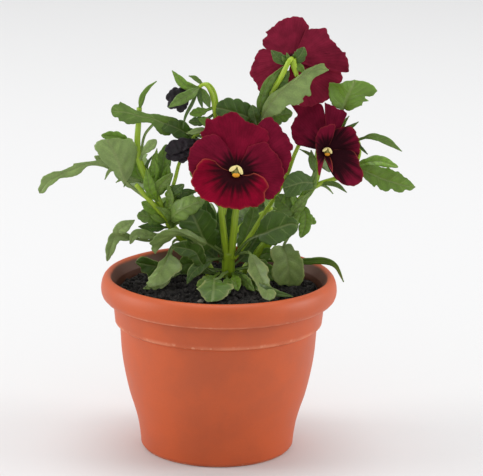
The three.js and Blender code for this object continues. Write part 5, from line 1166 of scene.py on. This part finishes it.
def petal_finish(looks):
    """Petal velvet: wine red to crimson by its warmth, a black blotch that breaks into rays, fine
    veins from the throat and a thin pale margin."""
    made, tree, shader, mottle = start_finish(
        "petal_velvet", 0.01, 0.0005, Specular_IOR_Level=0.06, Sheen_Weight=0.1,
        Sheen_Roughness=0.4, Sheen_Tint=colour(210, 40, 80),
    )
    base = blend(tree, value_of(tree, "warmth"), solid(looks.petal_wine), solid(looks.petal_crimson))
    under = blend(tree, times(tree, value_of(tree, "under"), 0.7), base, solid(looks.petal_back))
    spread = maths(tree, "ADD", times(tree, value_of(tree, "sweep"), 90.0), times(tree, mottle[0], 9.0))
    fine = maths(tree, "SINE", spread)
    veined = blend(tree, times(tree, ramp(tree, fine, 0.2, 1.0), 0.11), under, solid(looks.blotch))
    shaded = lit(tree, veined, ramp(tree, mottle[0], 0.3, 0.7, 0.8, 1.25))
    reach = maths(tree, "ADD", value_of(tree, "reach"), times(tree, fine, 0.06))
    blot = ramp(tree, maths(tree, "ADD", reach, times(tree, mottle[0], 0.25)), 1.4, 0.7)
    blotted = blend(tree, times(tree, blot, 0.93), shaded, solid(looks.blotch))
    rim = blend(tree, times(tree, value_of(tree, "rim"), 0.75), blotted, solid(looks.petal_margin))
    rough = ramp(tree, mottle[1], 0.2, 0.8, 0.6, 0.85)
    relief = maths(tree, "ADD", times(tree, fine, -0.35), mottle[2])
    link(tree, shader, Base_Color=rim, Roughness=rough, Normal=bump(tree, relief, 0.3, 0.0002))
    return made


def spent_finish(looks):
    """Spent petals: near-black purple, shrivelled, with a faint sheen on the folds."""
    made, tree, shader, mottle = start_finish(
        "spent_petal", 0.004, 0.0006, Specular_IOR_Level=0.4, Sheen_Weight=0.1
    )
    base = blend(tree, ramp(tree, mottle[0], 0.35, 0.7), solid(looks.spent), solid(looks.spent_fold))
    gloss = ramp(tree, mottle[1], 0.2, 0.8, 0.4, 0.65)
    link(tree, shader, Base_Color=base, Roughness=gloss, Normal=bump(tree, mottle[2], 0.8, 0.0006))
    return made


def eye_finish(looks):
    """The bloom's eye: a yellow lip with an orange edge, cream beards and an olive floor and
    stigma, each by its tone, with a fine grain."""
    made, tree, shader, mottle = start_finish("bloom_eye", 0.002, 0.0003, Specular_IOR_Level=0.3)
    parts = (looks.eye_yellow, looks.eye_orange, looks.eye_cream, looks.eye_green)
    bands = tone_bands(tree, *(solid(part) for part in parts))
    shaded = lit(tree, bands, ramp(tree, mottle[0], 0.3, 0.7, 0.85, 1.15))
    gloss = ramp(tree, mottle[1], 0.2, 0.8, 0.45, 0.7)
    link(tree, shader, Base_Color=shaded, Roughness=gloss, Normal=bump(tree, mottle[2], 0.7, 0.0003))
    return made


def pot_finish(looks):
    """Pot plastic: terracotta coloured, faintly mottled, scuffed and chipped pale on the worn
    edges, with painted shade darkening down the inner wall, a few dried drops and a fine moulded grain."""
    made, tree, shader, mottle = start_finish("worn_pot_plastic", 0.03, 0.0005, Specular_IOR_Level=0.6)
    place = node(tree, "ShaderNodeTexCoord").outputs["Object"]
    high = times(tree, node(tree, "ShaderNodeSeparateXYZ", {0: place}).outputs[2], 1 / MM)
    patch = ramp(tree, mottle[0], 0.3, 0.7, 0.93, 1.07)
    speck = ramp(tree, mottle[1], 0.3, 0.7, 0.97, 1.03)
    base = lit(tree, solid(looks.plastic), times(tree, patch, speck))
    wear = value_of(tree, "wear")
    rubbed = times(tree, wear, ramp(tree, mottle[0], 0.35, 0.6, 0.06, 0.45))
    cells = node(tree, "ShaderNodeTexVoronoi", {"Vector": place, "Scale": 240.0}).outputs["Distance"]
    chips = times(tree, wear, ramp(tree, cells, 0.4, 0.22))
    worn = maths(tree, "MAXIMUM", rubbed, times(tree, chips, 0.75))
    scuffed = blend(tree, worn, base, solid(looks.scuff))
    # Painted shade: the inner wall is darkened from just under the rim's inner roll downwards.
    level = maths(tree, "ADD", high, times(tree, mottle[0], 4.0))
    inner_shade_mask = times(tree, value_of(tree, "inside"), ramp(tree, level, 122.0, 119.5))
    inner_shaded = blend(tree, times(tree, inner_shade_mask, 0.93), scuffed, solid(looks.painted_inner_shade))
    drops = times(tree, ramp(tree, cells, 0.16, 0.05), ramp(tree, mottle[0], 0.5, 0.75))
    dusty = blend(tree, times(tree, drops, 0.12), inner_shaded, solid(looks.scuff))
    gloss = maths(tree, "ADD", ramp(tree, mottle[0], 0.25, 0.75, 0.44, 0.56), times(tree, wear, 0.12))
    link(tree, shader, Base_Color=dusty, Roughness=gloss, Normal=bump(tree, mottle[1], 0.12, 0.0002))
    return made


def soil_finish(looks):
    """Potting mix: near-black brown crumbs with a few pale fibres and grits, very matte."""
    made, tree, shader, mottle = start_finish("potting_mix", 0.006, 0.0012, Specular_IOR_Level=0.2)
    base = blend(tree, ramp(tree, mottle[0], 0.35, 0.65), solid(looks.soil), solid(looks.soil_dry))
    fibres = blend(tree, ramp(tree, mottle[1], 0.62, 0.72), base, solid(looks.soil_fibre))
    grit = blend(tree, ramp(tree, value_of(tree, "tone"), 0.5, 1.0), fibres, solid(looks.soil_grit))
    rough = ramp(tree, mottle[1], 0.2, 0.8, 0.85, 1.0)
    link(tree, shader, Base_Color=grit, Roughness=rough, Normal=bump(tree, mottle[2], 1.0, 0.0012))
    return made


def tint(name, words, screen):
    """A colour setting whose default is given as it looks on a screen, 0 to 255."""
    return bpy.props.FloatVectorProperty(
        name=name, description=words, subtype="COLOR", size=3, min=0, max=1, default=colour(*screen)[:3]
    )


def metres(name, words, default, least=0.0):
    """A length setting in metres."""
    return bpy.props.FloatProperty(
        name=name, description=words, default=default, min=least, unit="LENGTH"
    )


class PansyLooks(bpy.types.PropertyGroup):
    """Colours of the plant, its pot and its soil."""

    leaf_dark: tint("Dark leaf", "Older leaves seen from above", (71, 101, 30))
    leaf_mid: tint("Leaf", "Most leaves seen from above", (97, 127, 46))
    leaf_bright: tint("Bright leaf", "Young leaves and sepals", (112, 148, 42))
    leaf_pale: tint("Leaf underside", "Undersides and pale blades", (129, 152, 84))
    leaf_margin: tint("Leaf margin", "Worn edges of the leaves", (172, 178, 112))
    vein: tint("Vein", "Midrib and side veins", (150, 165, 100))
    stem_dark: tint("Lower stem", "Stems low in the plant", (132, 162, 34))
    stem_bright: tint("Upper stem", "Young stems", (160, 188, 50))
    petal_wine: tint("Wine petal", "Upper and side petals", (112, 18, 45))
    petal_crimson: tint("Crimson petal", "The lower petal", (134, 2, 36))
    petal_back: tint("Petal back", "Backs of the petals", (122, 30, 52))
    petal_margin: tint("Petal margin", "Thin pale edge of a petal", (176, 84, 60))
    blotch: tint("Blotch", "Dark rays round the eye", (26, 8, 14))
    spent: tint("Spent petal", "Wilted petals", (15, 9, 16))
    spent_fold: tint("Spent fold", "Lighter patches of the wilted petals", (36, 22, 33))
    eye_yellow: tint("Eye lip", "Yellow lip of the eye", (232, 186, 50))
    eye_orange: tint("Eye edge", "Orange edge of the eye", (226, 132, 30))
    eye_cream: tint("Beard", "Cream beards above the eye", (248, 230, 158))
    eye_green: tint("Eye floor", "Olive floor and stigma of the eye", (92, 92, 18))
    plastic: tint("Pot plastic", "Body of the pot", (193, 81, 26))
    scuff: tint("Scuff", "Worn edges of the pot", (226, 158, 124))
    # The painted shade that darkens the inner wall of the pot.
    painted_inner_shade: tint("Painted inner shade", "Painted shade on the inner wall", (78, 45, 30))
    soil: tint("Soil", "Potting mix", (31, 30, 30))
    soil_dry: tint("Dry soil", "Drier patches of the potting mix", (56, 53, 51))
    soil_fibre: tint("Fibre", "Pale fibres in the potting mix", (92, 87, 80))
    soil_grit: tint("Grit", "Loose pale grits and bark", (118, 112, 102))


class PansySizes(bpy.types.PropertyGroup):
    """Sizes of the fine detail, and how many crumbs there are."""

    crumb: metres("Crumb size", "Radius of the larger soil crumbs", 0.0019, 0.0003)
    crumbs: bpy.props.IntProperty(
        name="Crumbs", description="Number of loose soil crumbs", default=1300, min=0
    )
    soil_relief: metres("Soil relief", "Height of the soil's roughness", 0.0011)
    nick: metres("Rim nicks", "Depth of the nicks along the rim's lower edge", 0.00018)
    floor: metres("Floor radius", "Radius of the pale floor", 6.0, 1.0)


def finish_named(name, make):
    """The finish if it is made already, or else made now."""
    made = bpy.data.materials.get(name)
    return made or make(bpy.context.scene.pansy_looks)


def build_pot():
    """The lathe-turned wall, nicked by small waves along the rim's lower edge and the step, with
    its drain holes cut through the foot."""
    profile = pot_profile()
    rings = lathe(profile, POT_SIDES)
    angle = np.linspace(0, 2 * math.pi, POT_SIDES, endpoint=False)
    around = np.stack([np.cos(angle), np.sin(angle)], -1) * NICK_RING
    nick = bpy.context.scene.pansy_sizes.nick / MM
    worn = near_corner(profile, *RIM_LIP) + STEP_SHARE * near_corner(profile, *STEP_EDGE)
    shift = nick * (waves(around, 5.0, 10, 3) - 1.2)[None] * worn[:, None]
    rings[..., :2] *= (1 + shift / np.maximum(profile[:, 0], 1)[:, None])[..., None]
    inner = np.arange(len(profile)) > np.argmax(profile[:, 1])
    edges = sum(near_corner(profile, *corner, *WEAR_SPREAD) for corner in WORN_CORNERS)
    around_uv, up_uv = angle[None] / POT_UV_SPAN[0], profile[:, 1, None] / POT_UV_SPAN[1]
    uv = np.stack(np.broadcast_arrays(around_uv, up_uv), -1)
    # The inside value marks the inner wall, where the pot finish paints shade.
    shell = closed_rings(rings, uv, {"wear": np.clip(edges, 0, 1), "inside": inner.astype(float)})
    made = finish_named("worn_pot_plastic", pot_finish)
    pot = put_piece("pot_shell", [shell], [made], "pot_plastic", "pot")
    drains = []
    for turn in np.arange(DRAIN_HOLES) * 2 * math.pi / DRAIN_HOLES:
        middle = (DRAIN_RING * math.cos(turn), DRAIN_RING * math.sin(turn), 0)
        column = lathe([[DRAIN_RADIUS, level] for level in DRAIN_SPAN], DRAIN_SIDES) + middle
        values = {"wear": np.zeros(2), "inside": np.ones(2)}
        drains.append(closed_rings(column, np.zeros((2, DRAIN_SIDES, 2)), values))
    cut_out(pot, drains)


def near_corner(profile, radius, height, wide, tall):
    """How near the profile's points are to a corner: a bell curve of the given spread."""
    across, up = (profile[:, 0] - radius) / wide, (profile[:, 1] - height) / tall
    return np.exp(-(across**2) - up**2)


def cut_out(piece, parts):
    """Cuts the parts' closed shapes out of a piece."""
    cutter = put_piece("cutter", parts, [piece.data.materials[0]], "pot_plastic")
    cut = piece.modifiers.new("Drains", "BOOLEAN")
    cut.object, cut.operation, cut.solver = cutter, "DIFFERENCE", "EXACT"
    done = bpy.data.meshes.new_from_object(piece.evaluated_get(bpy.context.evaluated_depsgraph_get()))
    piece.modifiers.clear()
    piece.data = done
    bpy.data.objects.remove(cutter)


def build_soil():
    """The soil's body with a finely crumbled top: its mound plus noise at three sizes."""
    relief = bpy.context.scene.pansy_sizes.soil_relief / MM
    side = lathe(SOIL_PROFILE[1:], SOIL_SIDES)
    radii = np.linspace(SOIL_RADIUS, SOIL_HUB, SOIL_RINGS)
    top = lathe([[radius, 0] for radius in radii], SOIL_SIDES)
    spots = top[..., :2]
    rough = sum(share * waves(spots, span, count, seed) for share, span, count, seed in SOIL_NOISE)
    top[..., 2] = soil_top(spots[..., 0], spots[..., 1]) + relief * rough - SOIL_SINK
    rings = np.concatenate([side, top])
    part = closed_rings(rings, np.zeros(rings.shape[:2] + (2,)), {"tone": np.zeros(len(rings))})
    made = finish_named("potting_mix", soil_finish)
    put_piece("soil_body", [part], [made], "potting_soil", "soil")


def build_crumbs():
    """Loose crumbs: distorted octahedra split once, scattered on the soil's top, a few of them
    pale grit or bark."""
    sizes = bpy.context.scene.pansy_sizes
    random = np.random.default_rng(11)
    ball, faces = split_octahedron()
    count = sizes.crumbs
    away = CRUMB_REACH * np.sqrt(random.uniform(0.0, 1.0, count))
    angle = random.uniform(0, 2 * math.pi, count)
    x, y = away * np.cos(angle), away * np.sin(angle)
    girth = sizes.crumb / MM * random.uniform(*CRUMB_SIZES, (count, 1, 1))
    girth = girth * random.uniform(*CRUMB_STRETCH, (count, 1, 3))
    lump = ball[None] * girth * random.uniform(*CRUMB_LUMPS, (count, len(ball), 1))
    cells = lump + np.stack([x, y, soil_top(x, y) + CRUMB_RISE * girth[:, 0, 2]], -1)[:, None]
    tone = np.where(random.uniform(size=count) > COMMON_CRUMBS, 1.0, 0.0)
    starts = (np.arange(count) * len(ball))[:, None, None]
    part = {
        "points": cells.reshape(-1, 3),
        "quads": np.empty((0, 4), int),
        "fans": (faces[None] + starts).reshape(-1, 3),
        "uv": np.zeros((count * len(ball), 2)),
        "values": {"tone": np.repeat(tone, len(ball))},
    }
    made = finish_named("potting_mix", soil_finish)
    crumbs = put_piece("soil_crumbs", [part], [made], "potting_soil")
    crumbs.data.polygons.foreach_set("use_smooth", np.zeros(len(crumbs.data.polygons), bool))


def split_octahedron():
    """Points and faces of an octahedron, each face split into four on the unit sphere."""
    tips = np.array([[1, 0, 0], [-1, 0, 0], [0, 1, 0], [0, -1, 0], [0, 0, 1], [0, 0, -1]], float)
    eight = [[0, 2, 4], [2, 1, 4], [1, 3, 4], [3, 0, 4], [2, 0, 5], [1, 2, 5], [3, 1, 5], [0, 3, 5]]
    points, faces, middles = list(tips), [], {}
    for a, b, c in eight:
        for pair in ((a, b), (b, c), (c, a)):
            key = tuple(sorted(pair))
            if key not in middles:
                middles[key] = len(points)
                points.append(unit(tips[pair[0]] + tips[pair[1]]))
        ab, bc, ca = (middles[tuple(sorted(pair))] for pair in ((a, b), (b, c), (c, a)))
        faces += [[a, ab, ca], [ab, b, bc], [ca, bc, c], [ab, bc, ca]]
    return np.array(points), np.array(faces)


def build_shoot(name):
    """One leafy shoot: its stems, then its leaves and sepals, in one mesh with two finishes."""
    shoot = SHOOTS[name]
    finishes = [finish_named("leaf_skin", leaf_finish), finish_named("stem_skin", stem_finish)]
    parts = []
    for k, stem in enumerate(shoot["stems"]):
        tone = SIDE_STEM_TONE if k else MAIN_STEM_TONE
        parts.append({**stem_tube(*stem, tone), "slot": 1})
    for k, leaf in enumerate(shoot["leaves"] + FILLERS.get(name, [])):
        parts.append(leaf_blade(*leaf, seed=k + 1))
    put_piece(name + "_leaves", parts, finishes, "foliage", name)


def build_bloom(name):
    """One open bloom: its petals, the boss they grow from, and its eye."""
    bloom = BLOOMS[name]
    middle = seen(bloom["at"])[0]
    low, high = bloom["hub"]
    velvet = finish_named("petal_velvet", petal_finish)
    profile = [[HUB_RADIUS - 0.8, low], [HUB_RADIUS, high - 0.3], [HUB_RADIUS - 0.6, high]]
    hub = boss(middle, bloom["faces"], profile)
    plain = {"reach": 0.2, "rim": 0.0, "warmth": 0.2, "sweep": 0.0, "under": 0.0}
    hub["values"] = {key: np.full(len(hub["points"]), value) for key, value in plain.items()}
    parts = [hub]
    for k, (petal, look) in enumerate(zip(bloom["petals"], bloom["looks"])):
        dark = dict(zip(("reach", "rim", "warmth"), look))
        sheet = petal_sheet(middle, petal, bloom["ruffle"], dark, 1.7 * k + 0.6)
        if bloom["faces"] < 0:
            sheet["values"]["under"] = 1 - sheet["values"]["under"]
        parts.append(sheet)
    put_piece(name + "_petals", parts, [velvet], "petals", name)

    axis = TO_EYE * bloom["faces"]
    side = ACROSS * bloom["faces"]
    scale = bloom["eye"]
    root = middle + axis * (high + EYE_RISE)
    lobes = []
    for x, y, turn, long, wide, tall, rise, tone in EYE_LOBES:
        first = math.cos(math.radians(turn)) * side + math.sin(math.radians(turn)) * UPWARD
        place = root + scale * (x * side + y * UPWARD) + rise * axis
        axes = (first, np.cross(axis, first), axis)
        lobes.append(dome(place, (long * scale, wide * scale, tall), axes, tone))
    eye = finish_named("bloom_eye", eye_finish)
    put_piece(name + "_centre", lobes, [eye], "flower_eye", name + "_eye")


def build_bud(name):
    """One spent bloom: a small knob with shrivelled petals furled from it."""
    bud = BUDS[name]
    made = finish_named("spent_petal", spent_finish)
    parts = [boss(seen(bud["at"])[0], 1, KNOB_PROFILE)]
    for k, (wide, turn, places) in enumerate(bud["petals"]):
        husk = {"fold": 0.1, "stalk": 0, "places": places, "tone": 0, "wrinkle": 0.5}
        parts.append(leaf_blade("husk", wide, turn, seed=k + 3, **husk))
    put_piece(name + "_petals", parts, [made], "wilted_petals", name)


def build_stage():
    """The pale floor, the soft lights and the camera at the eye point."""
    scene = bpy.context.scene
    angle = np.linspace(0, 2 * math.pi, FLOOR_SIDES, endpoint=False)
    rings = np.linspace(0.0, 1.0, FLOOR_RINGS + 1)[1:, None, None] ** 2 * scene.pansy_sizes.floor
    circle = np.stack([np.cos(angle), np.sin(angle)], -1)
    heights = np.full((FLOOR_RINGS, FLOOR_SIDES, 1), FLOOR_LEVEL)
    flat = np.concatenate([rings * circle, heights], -1)
    index = np.arange(FLOOR_RINGS * FLOOR_SIDES).reshape(FLOOR_RINGS, FLOOR_SIDES)
    ahead = np.roll(index, -1, axis=1)
    quads = np.stack([index[:-1], index[1:], ahead[1:], ahead[:-1]], -1).reshape(-1, 4).tolist()
    mesh = bpy.data.meshes.new("floor")
    mesh.from_pydata(flat.reshape(-1, 3), [], quads + [index[0].tolist()])
    floor = bpy.data.objects.new("floor", mesh)
    scene.collection.objects.link(floor)
    paper = bpy.data.materials.new("floor_paper")
    paper.use_nodes = True
    shader = next(n for n in paper.node_tree.nodes if n.type == "BSDF_PRINCIPLED")
    shader.inputs["Base Color"].default_value = FLOOR_COLOUR
    shader.inputs["Roughness"].default_value = 0.9
    shader.inputs["Specular IOR Level"].default_value = 0.1
    mesh.materials.append(paper)

    world = scene.world or bpy.data.worlds.new("studio")
    scene.world = world
    world.use_nodes = True
    sky = next(n for n in world.node_tree.nodes if n.type == "BACKGROUND")
    sky.inputs[0].default_value = (1.0, 1.0, 1.0, 1)
    sky.inputs[1].default_value = SKY_STRENGTH
    for name, place, across, power, hue in LAMPS:
        light = bpy.data.lights.new(name, "AREA")
        light.shape, light.size, light.energy, light.color = "DISK", across, power, hue
        lamp = bpy.data.objects.new(name, light)
        lamp.location = place
        lamp.rotation_euler = (LIT_PLACE - Vector(place)).to_track_quat("-Z", "Y").to_euler()
        scene.collection.objects.link(lamp)

    lens = bpy.data.cameras.new("camera")
    lens.sensor_width = SENSOR
    lens.lens = SENSOR * LENS_WIDTHS
    lens.clip_start, lens.clip_end = 0.05, 50.0
    camera = bpy.data.objects.new("camera", lens)
    right, up = AIM_PIXEL[0] - PHOTO_WIDTH / 2, PHOTO_HEIGHT / 2 - AIM_PIXEL[1]
    to_aim = Vector((right, up, -LENS_WIDTHS * PHOTO_WIDTH)).normalized()
    swing = to_aim.rotation_difference(Vector((0, 0, -1))).to_matrix()
    level = Matrix((ACROSS, UPWARD, TO_EYE)).transposed()
    turn = level @ Matrix.Rotation(CAMERA_ROLL, 3, "Z") @ swing
    camera.matrix_world = Matrix.Translation(Vector(EYE * MM)) @ turn.to_4x4()
    scene.collection.objects.link(camera)
    scene.camera = camera
    scene.view_settings.view_transform = "Standard"


class PansyPot(bpy.types.Operator):
    """Builds the bell pot with its rolled rim and drain holes."""

    bl_idname = "pansy.pot"
    bl_label = "Pot"

    def execute(self, context):
        build_pot()
        return {"FINISHED"}


class PansySoil(bpy.types.Operator):
    """Builds the potting mix and its loose crumbs."""

    bl_idname = "pansy.soil"
    bl_label = "Soil"

    def execute(self, context):
        build_soil()
        build_crumbs()
        return {"FINISHED"}


class PansyShoots(bpy.types.Operator):
    """Builds the leafy shoots with their stems, leaves and sepals."""

    bl_idname = "pansy.shoots"
    bl_label = "Leafy shoots"

    def execute(self, context):
        for name in SHOOTS:
            build_shoot(name)
        return {"FINISHED"}


class PansyBlooms(bpy.types.Operator):
    """Builds the open blooms with their eyes."""

    bl_idname = "pansy.blooms"
    bl_label = "Open blooms"

    def execute(self, context):
        for name in BLOOMS:
            build_bloom(name)
        return {"FINISHED"}


class PansyBuds(bpy.types.Operator):
    """Builds the spent blooms."""

    bl_idname = "pansy.buds"
    bl_label = "Spent blooms"

    def execute(self, context):
        for name in BUDS:
            build_bud(name)
        return {"FINISHED"}


class PansyStage(bpy.types.Operator):
    """Builds the floor, the lights and the camera."""

    bl_idname = "pansy.stage"
    bl_label = "Stage"

    def execute(self, context):
        build_stage()
        return {"FINISHED"}


OPERATORS = (PansyStage, PansyPot, PansySoil, PansyShoots, PansyBlooms, PansyBuds)


class PansyPanel(bpy.types.Panel):
    """Lists the pieces and their settings."""

    bl_idname = "VIEW3D_PT_pansy"
    bl_label = "Potted pansy"
    bl_space_type = "VIEW_3D"
    bl_region_type = "UI"
    bl_category = "Potted pansy"

    def draw(self, context):
        for operator in OPERATORS:
            self.layout.operator(operator.bl_idname)
        for group in (context.scene.pansy_sizes, context.scene.pansy_looks):
            for key in group.bl_rna.properties.keys():
                if key not in {"rna_type", "name"}:
                    self.layout.prop(group, key)


CLASSES = (PansyLooks, PansySizes, *OPERATORS, PansyPanel)


def register():
    """Registers the classes and puts both groups of settings on the scene."""
    for cls in CLASSES:
        bpy.utils.register_class(cls)
    bpy.types.Scene.pansy_looks = bpy.props.PointerProperty(type=PansyLooks)
    bpy.types.Scene.pansy_sizes = bpy.props.PointerProperty(type=PansySizes)


def unregister():
    """Takes the settings and the classes away again."""
    del bpy.types.Scene.pansy_looks
    del bpy.types.Scene.pansy_sizes
    for cls in reversed(CLASSES):
        bpy.utils.unregister_class(cls)


def main():
    """Registers the add-on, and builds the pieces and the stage."""
    register()
    for operator in OPERATORS:
        group, name = operator.bl_idname.split(".")
        getattr(getattr(bpy.ops, group), name)()


if __name__ == "__main__":
    main()
